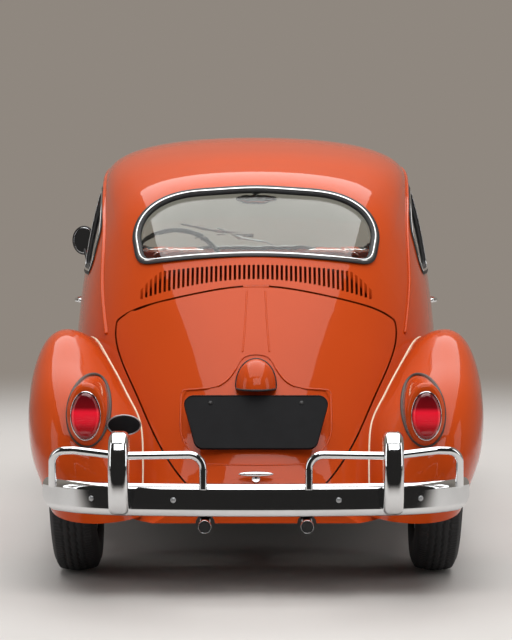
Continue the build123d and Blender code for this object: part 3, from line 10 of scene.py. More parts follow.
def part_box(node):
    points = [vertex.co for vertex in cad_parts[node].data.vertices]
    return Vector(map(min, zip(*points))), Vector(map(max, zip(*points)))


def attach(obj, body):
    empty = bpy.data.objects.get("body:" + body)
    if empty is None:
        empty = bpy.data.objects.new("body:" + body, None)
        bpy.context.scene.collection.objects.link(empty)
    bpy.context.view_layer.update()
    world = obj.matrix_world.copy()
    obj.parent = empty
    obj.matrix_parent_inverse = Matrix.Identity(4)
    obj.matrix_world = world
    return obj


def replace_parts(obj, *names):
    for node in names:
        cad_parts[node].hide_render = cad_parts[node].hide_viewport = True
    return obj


# Looks of the rear-engine compact car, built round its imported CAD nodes.
# Metres, +X the car's right, +Y its nose, +Z up.

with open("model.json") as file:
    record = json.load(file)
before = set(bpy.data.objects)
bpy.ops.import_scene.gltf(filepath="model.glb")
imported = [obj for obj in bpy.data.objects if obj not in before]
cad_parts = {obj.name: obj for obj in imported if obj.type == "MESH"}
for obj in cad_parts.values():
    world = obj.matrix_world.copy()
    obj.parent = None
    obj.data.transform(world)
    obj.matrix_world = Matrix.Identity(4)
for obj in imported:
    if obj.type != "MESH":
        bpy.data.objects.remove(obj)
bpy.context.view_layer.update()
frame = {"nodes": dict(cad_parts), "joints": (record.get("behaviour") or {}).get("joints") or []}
nodes = frame["nodes"]
print("frame loaded:", len(nodes), "nodes")

sides = {"Left": -1, "Right": 1}
corners = ("front_left", "front_right", "rear_left", "rear_right")
jointOf = {j["name"]: j for j in frame["joints"]}
treeCache = {}
slotOf = {}  # slot named for each material's pieces, unless a piece names its own; looked up in addMesh but given to no piece


def boxOf(name):
    # lowest and highest corner of a node
    return (np.array(corner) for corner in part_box(name))


def unit(vectors):
    # each row divided by its own length
    return vectors / np.maximum(np.linalg.norm(vectors, axis=-1, keepdims=True), 1e-12)


def addMesh(name, points, faces, material, body="chassis", slot=None, outward=True):
    # a mesh object from points and faces, turned so that its signed volume is positive
    spots = np.asarray(points, float).reshape(-1, 3)
    mesh = bpy.data.meshes.new(name)
    mesh.from_pydata(spots.tolist(), [], faces)
    mesh.validate()
    piece = bpy.data.objects.new(name, mesh)
    bpy.context.scene.collection.objects.link(piece)
    if outward:
        triangles = np.array([face[:3] for face in faces] + [[face[0], *face[2:4]] for face in faces if len(face) > 3])
        a, b, c = (spots[triangles[:, i]] for i in range(3))
        middle = spots.mean(0)
        if np.einsum("ij,ij->i", a - middle, np.cross(b - middle, c - middle)).sum() < 0:
            mesh.flip_normals()
    smooth(mesh)
    mesh.materials.append(material)
    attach(piece, body)
    slot = slot or slotOf.get(material.name)
    return piece


def smooth(mesh):
    # every face shaded smooth
    mesh.polygons.foreach_set("use_smooth", np.ones(len(mesh.polygons), bool))


def readVectors(items, field):
    # one row for each vertex
    values = np.empty(len(items) * 3)
    items.foreach_get(field, values)
    return values.reshape(-1, 3)


def gridFaces(rows, columns, closeRows=False, closeColumns=False, start=0):
    # quads between neighbouring rows and columns of a point grid
    i = np.arange(rows if closeRows else rows - 1)
    j = np.arange(columns if closeColumns else columns - 1)
    i, j = np.meshgrid(i, j, indexing="ij")
    nextI, nextJ = (i + 1) % rows, (j + 1) % columns
    quads = np.stack([i * columns + j, nextI * columns + j, nextI * columns + nextJ, i * columns + nextJ], -1)
    return (quads.reshape(-1, 4) + start).tolist()


def carryAlong(name, path, outward, profile, material, body="chassis", closed=False, slot=None):
    # point = path + side * profile x + outward * profile y, where side = outward x heading
    path, profile = np.asarray(path, float), np.asarray(profile, float)
    outward = np.broadcast_to(np.asarray(outward, float), path.shape)
    heading = unit(np.roll(path, -1, 0) - np.roll(path, 1, 0) if closed else np.gradient(path, axis=0))
    outward = unit(outward - heading * (outward * heading).sum(-1, keepdims=True))
    side = np.cross(outward, heading)
    grid = path[:, None] + side[:, None] * profile[None, :, :1] + outward[:, None] * profile[None, :, 1:]
    rows, columns = grid.shape[:2]
    faces = gridFaces(rows, columns, closed, True)
    if not closed:
        faces += [list(range(columns)), list(range((rows - 1) * columns, rows * columns))[::-1]]
    return addMesh(name, grid, faces, material, body, slot)


def circle(radius, count=12, flat=1.0):
    # radius * cos, radius * flat * sin
    turn = np.linspace(0, 2 * math.pi, count, endpoint=False)
    return np.stack([radius * np.cos(turn), radius * flat * np.sin(turn)], -1)


def turned(name, profile, centre, axis, material, body="chassis", count=96, slot=None, squash=(1, 1)):
    # centre + (across * cos + up * sin) * radius + axis * height, with squash on across and up
    axis = Vector(axis).normalized()
    across = axis.orthogonal().normalized() if abs(axis.z) > 0.9 else axis.cross(Vector((0, 0, 1))).normalized()
    up = np.array(across.cross(axis))
    across, axis = np.array(across), np.array(axis)
    turn = np.linspace(0, 2 * math.pi, count, endpoint=False)[:, None, None]
    radius, height = (np.asarray(profile, float)[None, :, i, None] for i in (0, 1))
    ring = across * np.cos(turn) * squash[0] + up * np.sin(turn) * squash[1]
    grid = np.asarray(centre) + ring * radius + axis * height
    columns = grid.shape[1]
    faces = gridFaces(count, columns, True, False)
    for end, turnBack in ((0, False), (columns - 1, True)):
        if radius[0, end, 0] > 1e-6:
            loop = [i * columns + end for i in range(count)]
            faces.append(loop[::-1] if turnBack else loop)
    piece = addMesh(name, grid, faces, material, body, slot)
    mergeDoubles(piece)
    return piece


def mergeDoubles(piece, distance=1e-6):
    # poles of turned shapes become one point each
    shape = bmesh.new()
    shape.from_mesh(piece.data)
    bmesh.ops.remove_doubles(shape, verts=shape.verts, dist=distance)
    bmesh.ops.dissolve_degenerate(shape, edges=shape.edges, dist=distance)
    bmesh.ops.recalc_face_normals(shape, faces=shape.faces)
    shape.to_mesh(piece.data)
    shape.free()
    smooth(piece.data)


def slab(name, lower, upper, material, body="chassis", bevel=0.003, slot=None):
    # rounded block between two corners
    lower, upper = np.array(lower, float), np.array(upper, float)
    pick = np.array([[i, j, k] for i in (0, 1) for j in (0, 1) for k in (0, 1)])
    faces = [[0, 1, 3, 2], [4, 6, 7, 5], [0, 4, 5, 1], [2, 3, 7, 6], [0, 2, 6, 4], [1, 5, 7, 3]]
    piece = addMesh(name, lower + (upper - lower) * pick, faces, material, body, slot)
    rounding = piece.modifiers.new("roundEdges", "BEVEL")
    rounding.width, rounding.segments, rounding.limit_method = bevel, 3, "ANGLE"
    rounding.angle_limit = math.radians(35)
    return piece


def thicken(piece, thickness, merge=0):
    # a sheet without loose points, given its thickness on both sides
    shape = bmesh.new()
    shape.from_mesh(piece.data)
    if merge:
        bmesh.ops.remove_doubles(shape, verts=shape.verts, dist=merge)
    bmesh.ops.delete(shape, geom=[v for v in shape.verts if not v.link_faces], context="VERTS")
    shape.to_mesh(piece.data)
    shape.free()
    wall = piece.modifiers.new("thickness", "SOLIDIFY")
    wall.thickness, wall.offset = thickness, 0.0


def treeOf(name):
    # search tree of a CAD node, whose faces are all triangles
    if name not in treeCache:
        mesh = nodes[name].data
        rows = np.empty(len(mesh.loops), int)
        mesh.loops.foreach_get("vertex_index", rows)
        spots = readVectors(mesh.vertices, "co")
        treeCache[name] = BVHTree.FromPolygons(spots.tolist(), rows.reshape(-1, 3).tolist())
    return treeCache[name]


def touch(names, start, direction):
    # nearest place on the named nodes that a line from start meets, with its outward direction
    best = None
    for name in names.split():
        place, normal, _, distance = treeOf(name).ray_cast(Vector(start), Vector(direction))
        if place is not None and (best is None or distance < best[2]):
            best = (np.array(place), np.array(normal), distance)
    return best


def layOn(names, starts, direction):
    # where lines from the starts meet the nodes, and the outward directions there
    seen = [hit for hit in (touch(names, start, direction) for start in starts) if hit]
    return np.array([hit[0] for hit in seen]), np.array([hit[1] for hit in seen])


def ringOf(name, centre, count, reach=0.9, inset=0, across=(1, 0, 0), look=(0, 1, 0), start=3.0):
    # outline of a node seen along look: per turn, the last radius at which a sight line still meets it,
    # less inset, and where the line at that radius meets the node
    centre, across, look = (np.array(v, float) for v in (centre, across, look))
    places, normals = [], []
    for turn in np.linspace(0, 2 * math.pi, count, endpoint=False):
        ray = across * math.cos(turn) + [0, 0, math.sin(turn)]
        low, high = 0, reach
        for _ in range(16):
            middle = (low + high) / 2
            if touch(name, centre + ray * middle - look * start, look):
                low = middle
            else:
                high = middle
        place, normal, _ = touch(name, centre + ray * (low - inset) - look * start, look)
        places.append(place + ray * inset)
        normals.append(normal)
    return np.array(places), np.array(normals)


def outlineOf(name, centre, sights, count, passes, **more):
    # the ring with its points an equal distance apart, path and directions softened
    ring = evenly(np.hstack(ringOf(name, centre, sights, **more)), count)
    return soften(ring[:, :3], passes[0]), soften(ring[:, 3:], passes[1])


def evenly(path, count, closed=True):
    # the same path with its points an equal distance apart; columns after the third go along
    path = np.asarray(path, float)
    if closed:
        path = np.vstack([path, path[:1]])
    steps = np.linalg.norm(np.diff(path[:, :3], axis=0), axis=1)
    run = np.concatenate([[0], np.cumsum(steps)])
    wanted = np.linspace(0, run[-1], count + 1)[:-1] if closed else np.linspace(0, run[-1], count)
    return np.stack([np.interp(wanted, run, column) for column in path.T], -1)


def soften(path, passes, closed=True):
    # each point moves to the mean of itself and its neighbours, several times
    path = np.array(path, float)
    for _ in range(passes):
        if closed:
            path = (np.roll(path, 1, 0) + 2 * path + np.roll(path, -1, 0)) / 4
        else:
            path[1:-1] = (path[:-2] + 2 * path[1:-1] + path[2:]) / 4
    return path


def smoothPath(points, count):
    # Catmull-Rom curve through a few points
    points = np.asarray(points, float)
    padded = np.vstack([2 * points[0] - points[1], points, 2 * points[-1] - points[-2]])
    spans = np.linspace(0, len(points) - 1, count)
    index = np.minimum(spans.astype(int), len(points) - 2)
    t = (spans - index)[:, None]
    a, b, c, d = (padded[index + i] for i in range(4))
    return 0.5 * (2 * b + (c - a) * t + (2 * a - 5 * b + 4 * c - d) * t**2 + (3 * b - a - 3 * c + d) * t**3)


def ellipseRing(centre, halfWidth, halfHeight, count, across=(1, 0, 0), up=(0, 0, 1)):
    # centre + across * halfWidth * cos + up * halfHeight * sin
    turn = np.linspace(0, 2 * math.pi, count, endpoint=False)[:, None]
    return np.array(centre) + np.array(across) * halfWidth * np.cos(turn) + np.array(up) * halfHeight * np.sin(turn)


def dome(name, centre, out, size, rise, material, body="chassis", rings=8, count=48, slot=None, skirt=0.002,
         across=(1, 0, 0), up=(0, 0, 1)):
    # closed cap: centre + share of the oval rim + out * rise * root of (1 - share squared)
    centre, across, up, out = (np.array(v, float) for v in (centre, across, up, out))
    share = np.sin(np.linspace(0, math.pi / 2, rings + 1))[1:][:, None, None]
    turn = np.linspace(0, 2 * math.pi, count, endpoint=False)[None, :, None]
    height = rise * np.sqrt(np.maximum(1 - share**2, 0))
    grid = centre + (across * size[0] * np.cos(turn) + up * size[1] * np.sin(turn)) * share + out * height
    points = np.vstack([[centre + out * rise], grid.reshape(-1, 3), grid[-1] - out * skirt])
    faces = [[0, 1 + i, 1 + (i + 1) % count] for i in range(count)]
    faces += gridFaces(rings + 1, count, False, True, 1)
    faces.append([1 + rings * count + i for i in range(count)])
    piece = addMesh(name, points, faces, material, body, slot)
    mergeDoubles(piece)
    return piece


def addNode(tree, kind, inputs=(), **settings):
    # new shader node; an input takes a value, or a link where it is given a socket
    node = tree.nodes.new("ShaderNode" + kind)
    for key, value in settings.items():
        setattr(node, key, value)
    for key, value in dict(inputs).items():
        if isinstance(value, bpy.types.NodeSocket):
            tree.links.new(value, node.inputs[key])
        else:
            node.inputs[key].default_value = value
    return node


def rampOf(tree, value, steps, interpolation="LINEAR"):
    # colour along value through (position, colour) steps
    node = addNode(tree, "ValToRGB", {"Fac": value})
    node.color_ramp.interpolation = interpolation
    elements = node.color_ramp.elements
    while len(elements) < len(steps):
        elements.new(0.5)
    for element, (at, colour) in zip(elements, steps):
        element.position, element.color = at, [*colour, 1]
    return node.outputs["Color"]


def bumpOf(tree, height, strength):
    # surface directions tilted by a height in millimetres
    return addNode(tree, "Bump", {"Height": height, "Strength": strength, "Distance": 0.001}).outputs["Normal"]


def finishOf(name, colour, roughness, metallic=0, coat=0, vary=0.06, varyScale=6.0,
             grain=0, grainScale=400.0, roughVary=0.05, slot=None, **fixed):
    # shader with a slow colour drift, uneven gloss and a fine surface grain
    material = bpy.data.materials.new(name)
    material.use_nodes = True
    tree = material.node_tree
    shader = tree.nodes["Principled BSDF"]
    place = addNode(tree, "TexCoord").outputs["Object"]
    drift = addNode(tree, "TexNoise", {"Vector": place, "Scale": varyScale, "Detail": 6}).outputs["Fac"]
    tones = [(at, [min(c * gain, 1) for c in colour]) for at, gain in ((0.3, 1 - vary), (0.7, 1 + vary))]
    tree.links.new(rampOf(tree, drift, tones), shader.inputs["Base Color"])
    gloss = addNode(tree, "MapRange", {"Value": drift, "To Min": max(roughness - roughVary, 0),
                                       "To Max": min(roughness + roughVary, 1.0)})
    tree.links.new(gloss.outputs["Result"], shader.inputs["Roughness"])
    fixed.update(Metallic=metallic, Coat_Weight=coat, Coat_Roughness=0.03, Coat_IOR=1.33)
    for socket, value in fixed.items():
        shader.inputs[socket.replace("_", " ")].default_value = value
    if grain:
        fine = addNode(tree, "TexNoise", {"Vector": place, "Scale": grainScale, "Detail": 3}).outputs["Fac"]
        tree.links.new(bumpOf(tree, fine, grain), shader.inputs["Normal"])
    slotOf[material.name] = slot
    return material


bodyPaint = finishOf("bodyPaint", (0.5, 0.058, 0.006), 0.42, coat=0.9, vary=0.03, varyScale=2.5, roughVary=0.03,
                     slot="body_paint", Specular_IOR_Level=0.04)
chrome = finishOf("chrome", (0.72, 0.73, 0.74), 0.06, 1.0, vary=0.02, varyScale=30, roughVary=0.02, slot="chrome")
steelGrey = finishOf("steelGrey", (0.42, 0.43, 0.44), 0.38, 0.8, grain=0.05)
rubber = finishOf("rubber", (0.012, 0.012, 0.013), 0.5, vary=0.3, varyScale=40, grain=0.08, grainScale=900,
                  slot="black_plastic")
tyreRubber = finishOf("tyreRubber", (0.016, 0.016, 0.017), 0.72, vary=0.25, varyScale=25, grain=0.3,
                      grainScale=700, slot="tyre")
beadVinyl = finishOf("beadVinyl", (0.78, 0.68, 0.5), 0.4, vary=0.08, varyScale=30)
underBlack = finishOf("underBlack", (0.015, 0.015, 0.015), 0.62, vary=0.35, varyScale=12, grain=0.4, grainScale=300)
plateBlack = finishOf("plateBlack", (0.008, 0.008, 0.009), 0.6, vary=0.2, varyScale=18, grain=0.05,
                      slot="black_plastic", Specular_IOR_Level=0.12)
blackPlastic = finishOf("blackPlastic", (0.02, 0.02, 0.02), 0.42, vary=0.2, grain=0.12, grainScale=1200)
rimPaint = finishOf("rimPaint", (0.46, 0.46, 0.45), 0.3, coat=0.6, vary=0.05, varyScale=14)
leather = finishOf("leather", (0.03, 0.028, 0.026), 0.45, vary=0.15, varyScale=20, grain=0.35, grainScale=420,
                   slot="seat")
castMetal = finishOf("castMetal", (0.2, 0.2, 0.195), 0.55, 0.6, vary=0.2, varyScale=14, grain=0.3)
darkSteel = finishOf("darkSteel", (0.05, 0.05, 0.05), 0.5, 0.5, vary=0.3, varyScale=20, grain=0.25, slot="dark_metal")
mirrorGlass = finishOf("mirrorGlass", (0.8, 0.82, 0.84), 0.03, 1.0, vary=0.01, roughVary=0.01, slot="chrome")
windowGlass = finishOf("windowGlass", (0.9, 0.94, 0.92), 0.015, vary=0.02, roughVary=0.01, Transmission_Weight=1.0,
                       IOR=1.45)
lampGlass = finishOf("lampGlass", (0.95, 0.96, 0.96), 0.03, vary=0.02, roughVary=0.01, slot="glass",
                     Transmission_Weight=1.0, IOR=1.45)
gasketRubber = finishOf("gasketRubber", (0.055, 0.042, 0.036), 0.55, vary=0.2, varyScale=50, grain=0.05,
                        grainScale=900, slot="black_plastic")
bulbWhite = finishOf("bulbWhite", (0.9, 0.88, 0.8), 0.3, vary=0.04, Emission_Color=(1, 0.95, 0.85, 1),
                     Emission_Strength=0.25)
amberLens = finishOf("amberLens", (0.75, 0.22, 0.01), 0.15, coat=1.0, vary=0.12, varyScale=80, slot="red_lens",
                     Emission_Color=(0.9, 0.3, 0.02, 1), Emission_Strength=0.12)

# red lamp glass whose colour and painted glow step with height: the brighter middle band is the lens's own reflex band,
# lightened further and given a painted glow for the light and highlight it shows; fine moulded ribs
lensBands = {"low": 0.516, "high": 0.666, "ribScale": 55, "ribDepth": 0.22,
             "steps": [(0, (0.14, 0.002, 0.003)), (0.22, (0.34, 0.003, 0.006)), (0.4, (0.62, 0.005, 0.016)),
                       (0.6, (0.66, 0.006, 0.02)), (0.7, (0.2, 0.003, 0.006)), (1.0, (0.1, 0.002, 0.005))],
             "paintedGlow": [(0, 0.01), (0.25, 0.05), (0.42, 0.2), (0.58, 0.3), (0.7, 0.01)]}
redLens = finishOf("redLens", (0.5, 0.01, 0.01), 0.12, coat=1.0, vary=0.1, varyScale=70, roughVary=0.04,
                   Emission_Strength=1.0)
tree = redLens.node_tree
shader, place = tree.nodes["Principled BSDF"], tree.nodes["Texture Coordinate"].outputs["Object"]
height = addNode(tree, "SeparateXYZ", {"Vector": place}).outputs["Z"]
height = addNode(tree, "MapRange", {"Value": height, "From Min": lensBands["low"], "From Max": lensBands["high"]})
height = height.outputs["Result"]
tree.links.new(rampOf(tree, height, lensBands["steps"], "EASE"), shader.inputs["Base Color"])
# painted glow: light in the unlit lens, strongest in its middle band and fading above and below
paintedGlow = [(at, (level, level * 0.02, level * 0.05)) for at, level in lensBands["paintedGlow"]]
tree.links.new(rampOf(tree, height, paintedGlow), shader.inputs["Emission Color"])
ribs = addNode(tree, "TexWave", {"Vector": place, "Scale": lensBands["ribScale"]}, bands_direction="Z")
tree.links.new(bumpOf(tree, ribs.outputs["Fac"], lensBands["ribDepth"]), shader.inputs["Normal"])

dressing = {
    bodyPaint: ["body_shell", "engine_lid", "hood", "dashboard", "taillamps", "headlamps", "plate_lamp"]
    + [panel + side.lower() for panel in ("door_", "front_fender_", "rear_fender_") for side in sides],
    chrome: ["front_bumper", "rear_bumper", "lid_handle"] + ["hubcap_" + corner for corner in corners],
    rimPaint: ["rim_" + corner for corner in corners],
    tyreRubber: ["tyre_" + corner for corner in corners],
    windowGlass: ["windshield", "rear_window", "quarter_windows", "door_glass_left", "door_glass_right"],
    underBlack: ["floor_pan"],
    rubber: ["running_boards"],
    darkSteel: ["front_axle_beam", "rear_axle", "knuckle_front_left", "knuckle_front_right", "exhaust"],
    castMetal: ["engine"],
    blackPlastic: ["steering_wheel", "steering_column", "mirror_left", "gear_lever"],
    plateBlack: ["number_plate"],
    redLens: ["taillamp_lenses"],
    leather: ["front_seats", "rear_seat"],
}
for material, names in dressing.items():
    for name in names:
        nodes[name].data.materials.clear()
        nodes[name].data.materials.append(material)
print("finishes on the CAD nodes")

# seal: width over the glass and lip over the panel; strip: its middle and width across, and its height
windowTrim = {"seal": (0.015, 0.012), "doorSeal": (0.011, 0.007), "strip": (0.004, 0.0085, 0.0165),
              "inset": 0.005, "sights": 540, "reach": 1.1, "passes": (5, 14)}


def sealProfile(width, lip):
    # rubber section: from the glass edge up through the opening and over the panel by lip
    return [(width, 0), (width, 0.0065), (width * 0.6, 0.0125), (0, 0.0175), (-lip * 0.7, 0.0182),
            (-lip, 0.0162), (-lip - 0.0004, 0.0146), (-0.0008, 0.0143), (-0.0008, 0)]


def stripProfile(centre, width, height, thickness=0.0052):
    # low rounded metal strip lying on the rubber
    return circle(width / 2, 10, thickness / width) + [centre, height]


def trimWindow(name, node, across, look, count, body="chassis"):
    # rubber seal and bright strip along the outline of a pane
    middle = sum(boxOf(node)) / 2
    if node == "quarter_windows":
        middle[0] = 0
    path, outward = outlineOf(node, middle, windowTrim["sights"], count, windowTrim["passes"],
                              reach=windowTrim["reach"], inset=windowTrim["inset"], across=across, look=look)
    seal = windowTrim["seal" if body == "chassis" else "doorSeal"]
    carryAlong(name + "Seal", path, outward, sealProfile(*seal), rubber, body, closed=True)
    carryAlong(name + "Strip", path, outward, stripProfile(*windowTrim["strip"]), chrome, body, closed=True)


trimWindow("rearWindow", "rear_window", (1, 0, 0), (0, 1, 0), 260)
trimWindow("windshield", "windshield", (-1, 0, 0), (0, -1, 0), 260)
trimWindow("quarterRight", "quarter_windows", (0, 1, 0), (-1, 0, 0), 200)
trimWindow("quarterLeft", "quarter_windows", (0, -1, 0), (1, 0, 0), 200)
trimWindow("doorRight", "door_glass_right", (0, 1, 0), (-1, 0, 0), 220, "door_right")
trimWindow("doorLeft", "door_glass_left", (0, -1, 0), (1, 0, 0), 220, "door_left")
print("window seals and strips")

# the gutter's line in side view as (y, z), kept where the roof is wider than least
gutter = {"height": 0.009, "width": 0.013, "count": 150, "least": 0.38,
          "side": [(0.545, 1.283), (0.478, 1.366), (0.238, 1.385), (-0.026, 1.367), (-0.314, 1.315), (-0.578, 1.219),
                   (-0.77, 1.107), (-0.902, 0.982), (-0.998, 0.89), (-1.072, 0.815)]}
half, rise = gutter["width"] / 2, gutter["height"]
gutterProfile = [(-half, -0.002), (-half, rise * 0.55), (-half * 0.55, rise), (-half * 0.2, rise * 0.75),
                 (half * 0.5, rise * 0.35), (half, -0.002)]
for side, sign in sides.items():
    line = smoothPath([(sign * 2.0, y, z) for y, z in gutter["side"]], gutter["count"])
    places, normals = layOn("body_shell", line, (-sign, 0, 0))
    keep = np.abs(places[:, 0]) > gutter["least"]
    carryAlong("gutter" + side, soften(places[keep], 8, False), soften(normals[keep], 20, False),
               gutterProfile, bodyPaint)
print("roof gutters")

# wings: heading from the axle, and first and last angle of the joint about it
beading = {"radius": 0.0034, "proud": 0.0016, "count": 240, "hubHeight": 0.325, "angles": 130,
           "wings": {"rear": (-1, -6, 178), "front": (1, -10, 172)}}


def wingJoint(wing, hub, heading, sign, degrees, lowest=0.3, highest=0.95):
    # per angle about the axle, the nearest hull place that the wing no longer covers, found by halving
    found = []
    for turn in np.radians(degrees):
        out = np.array([0, heading * math.cos(turn), math.sin(turn)])
        low, high, place = lowest, highest, None
        for _ in range(22):
            middle = (low + high) / 2
            hit = touch("body_shell hood engine_lid", hub + out * middle + [sign * 1.2, 0, 0], (-sign, 0, 0))
            onSide = hit and hit[0][0] * sign > 0
            if onSide and touch(wing, hit[0] + hit[1] * 0.0015, out):
                low = middle
            else:
                high, place = middle, hit if onSide else place
        if place:
            found.append(np.concatenate([place[0], unit(place[1] + out * 0.8)]))
    return np.array(found)


for wing, (heading, first, last) in beading["wings"].items():
    hub = np.array([0, jointOf["wheel_spin_%s_right" % wing]["pos_m"][1], beading["hubHeight"]])
    for side, sign in sides.items():
        degrees = np.linspace(first, last, beading["angles"])
        joint = soften(wingJoint(wing + "_fender_" + side.lower(), hub, heading, sign, degrees), 2, False)
        joint = evenly(joint, beading["count"], False)
        carryAlong(wing + "Beading" + side, joint[:, :3] + unit(joint[:, 3:]) * beading["proud"],
                   joint[:, 3:], circle(beading["radius"], 10), beadVinyl)
print("beading between wings and hull")

tailLamp = {"ring": (0.0466, 0.0775), "ringRadius": 0.0034, "gasket": 0.0066, "gasketOut": 0.002,
            "lensInset": 0.044, "podInset": 0.064}
lampLow, lampHigh = boxOf("taillamp_lenses")
podLow, podHigh = boxOf("taillamps")
for side, sign in sides.items():
    lensMiddle = np.array([sign * (lampHigh[0] - tailLamp["lensInset"]), lampHigh[1] - 0.004,
                           (lampLow[2] + lampHigh[2]) / 2])
    podMiddle = np.array([sign * (podHigh[0] - tailLamp["podInset"]), 0, (podLow[2] + podHigh[2]) / 2])
    carryAlong("tailLampRing" + side, ellipseRing(lensMiddle, *tailLamp["ring"], 96, (sign, 0, 0)),
               (0, -1, 0), circle(tailLamp["ringRadius"]), chrome, closed=True)
    # the gasket lies where the pod goes into the wing
    places, _ = ringOf("taillamps", podMiddle, 160, 0.3)
    away = unit((places - podMiddle) * [1, 0, 1])
    starts = places * [1, 0, 1] + away * tailLamp["gasketOut"] + [0, -2.6, 0]
    seat, normals = layOn("rear_fender_" + side.lower(), starts, (0, 1, 0))
    carryAlong("tailLampGasket" + side, soften(seat, 3) + [0, -0.001, 0], soften(normals, 10),
               circle(tailLamp["gasket"], 12, 0.9), gasketRubber, closed=True)
print("tail lamp rings and gaskets")

# turned sections as (radius, height above the bowl's back), bulb and glass in front of it
headLamp = {"inset": 0.104, "rimBack": 0.008, "glass": 0.089, "glassRise": 0.0055, "bulge": 0.034,
            "rim": [(0.0885, 0.003), (0.0905, 0.008), (0.096, 0.0095), (0.1015, 0.006), (0.1052, -0.002),
                    (0.1062, -0.014), (0.1048, -0.018), (0.1042, -0.018)],
            "bowl": [(0, 0.0012), (0.03, 0.0014), (0.058, 0.002), (0.082, 0.0034), (0.0875, 0.005),
                     (0.0875, 0.0002)],
            "bulb": [(0, 0.019), (0.008, 0.018), (0.013, 0.012), (0.014, 0.0012)]}
headLow, headHigh = boxOf("headlamps")
for side, sign in sides.items():
    middle = np.array([sign * (headHigh[0] - headLamp["inset"]), headHigh[1], (headLow[2] + headHigh[2]) / 2])
    turned("headLampRim" + side, headLamp["rim"], middle - [0, headLamp["rimBack"], 0], (0, 1, 0), chrome)
    turned("headLampBowl" + side, headLamp["bowl"], middle, (0, 1, 0), mirrorGlass, count=72)
    turned("headLampBulb" + side, headLamp["bulb"], middle, (0, 1, 0), bulbWhite, count=32)
    dome("headLampGlass" + side, middle + [0, headLamp["glassRise"], 0], (0, 1, 0),
         (headLamp["glass"], headLamp["glass"]), headLamp["bulge"], lampGlass, rings=14, count=96)
print("head lamps")

plate = {"rim": 0.0022, "screwAcross": 0.15, "screwDown": 0.022,
         "screw": [(0, 0.0042), (0.004, 0.004), (0.0068, 0.0022), (0.0075, -0.0004)]}
plateLow, plateHigh = boxOf("number_plate")
path, outward = outlineOf("number_plate", (0, plateLow[1], (plateLow[2] + plateHigh[2]) / 2), 480, 220, (0, 4))
carryAlong("plateRim", path + [0, 0.0006, 0], outward, circle(plate["rim"], 8), plateBlack, "engine_lid", closed=True)
for number, sign in enumerate(sides.values()):
    start = (sign * plate["screwAcross"], -2.5, plateHigh[2] - plate["screwDown"])
    turned("plateScrew%d" % number, plate["screw"], *touch("number_plate", start, (0, 1, 0))[:2], darkSteel,
           "engine_lid", count=20)

plateLamp = {"glass": (0.026, 0.012), "bulge": 0.008, "gasket": 0.0036, "glassAhead": 0.03}
noseLow, noseHigh = boxOf("plate_lamp")
path, outward = outlineOf("plate_lamp", [0, noseHigh[1], noseLow[2] + 0.03], 240, 150, (3, 8), reach=0.2)
carryAlong("plateLampGasket", path, outward + [0, -0.4, 0], circle(plateLamp["gasket"], 10), rubber, "engine_lid",
           closed=True)
under = touch("plate_lamp", (0, noseLow[1] + plateLamp["glassAhead"], 0.2), (0, 0, 1))[0]
dome("plateLampGlass", under - [0, 0, 0.0004], (0, 0, -1), plateLamp["glass"], plateLamp["bulge"], lampGlass,
     "engine_lid", count=40, up=(0, 1, 0))
print("number plate and its lamp")

# pressed lines as (x, z) on the right half of the lid
lidCrease = {"proud": 0.0016, "radius": 0.0034, "foldHeight": 0.4245, "foldHalf": 0.1757,
             "upper": [(0.031, 0.972), (0.033, 0.935), (0.036, 0.88), (0.04, 0.826), (0.045, 0.775)],
             "panel": [(0.044, 0.756), (0.07, 0.718), (0.092, 0.69), (0.125, 0.6683), (0.159, 0.66),
                       (0.2305, 0.6518), (0.245, 0.644), (0.2475, 0.624), (0.2412, 0.5025), (0.1757, 0.4267)],
             "panelGrowth": 1.006, "panelOut": 0.001}


def creaseOnLid(name, line, count):
    # rounded bead along a line of (x, z), laid on the lid from behind
    line = smoothPath([(x, -2.6, z) for x, z in line], count)
    places, normals = layOn("engine_lid", line, (0, 1, 0))
    places, normals = soften(places, 4, False), soften(normals, 12, False)
    carryAlong(name, places - unit(normals) * lidCrease["proud"], normals, circle(lidCrease["radius"]), bodyPaint,
               "engine_lid")


for side, sign in sides.items():
    creaseOnLid("lidCrease" + side, [(sign * x, z) for x, z in lidCrease["upper"]], 60)
    creaseOnLid("panelCrease" + side, [(sign * (x * lidCrease["panelGrowth"] + lidCrease["panelOut"]), z)
                                               for x, z in lidCrease["panel"]], 140)
fold = np.linspace(-lidCrease["foldHalf"], lidCrease["foldHalf"], 12)
creaseOnLid("panelFold", [(x, lidCrease["foldHeight"]) for x in fold], 90)
print("lid creases")

badge = {"at": (-0.4325, 0.55), "half": (0.0545, 0.0325), "rise": 0.004, "back": 0.004, "rim": 0.0024}
edge = ellipseRing((badge["at"][0], -2.6, badge["at"][1]), *badge["half"], 24)
edge = layOn("rear_fender_left body_shell engine_lid", edge, (0, 1, 0))[0]
place = np.array([badge["at"][0], edge[:, 1].min() - badge["back"], badge["at"][1]])
dome("badgeFace", place, (0, -1, 0), badge["half"], badge["rise"], plateBlack, rings=6, count=56, skirt=0.003)
carryAlong("badgeRim", ellipseRing(place, *badge["half"], 72), (0, -1, 0),
           circle(badge["rim"], 10), steelGrey, closed=True, slot="chrome")
slab("badgeStay", place + [0.012, 0.001, -0.012], place + [0.026, 0.03, 0.012], darkSteel, bevel=0.002)
print("badge")

# ribs: places of the grooves across the tread; rings: radius, height and width of the moulded side rings
tyreLook = {"around": 640, "sectionRadius": 0.262, "sectionSteps": 84, "sectionFrom": -52, "sectionTo": 232,
            "ribs": (-0.034, -0.0115, 0.0115, 0.034), "grooveWidth": 0.0042, "grooveDepth": 0.0055,
            "zigzag": 0.0026, "zigzagCount": 64, "sipes": 160, "sipeDepth": 0.003, "sipeFrom": 0.036,
            "treadHalf": 0.062, "treadDrop": 0.02, "side": (0.212, 0.29), "skin": 0.0016,
            "rings": ((0.232, 0.001, 0.0025), (0.284, 0.0014, 0.003))}


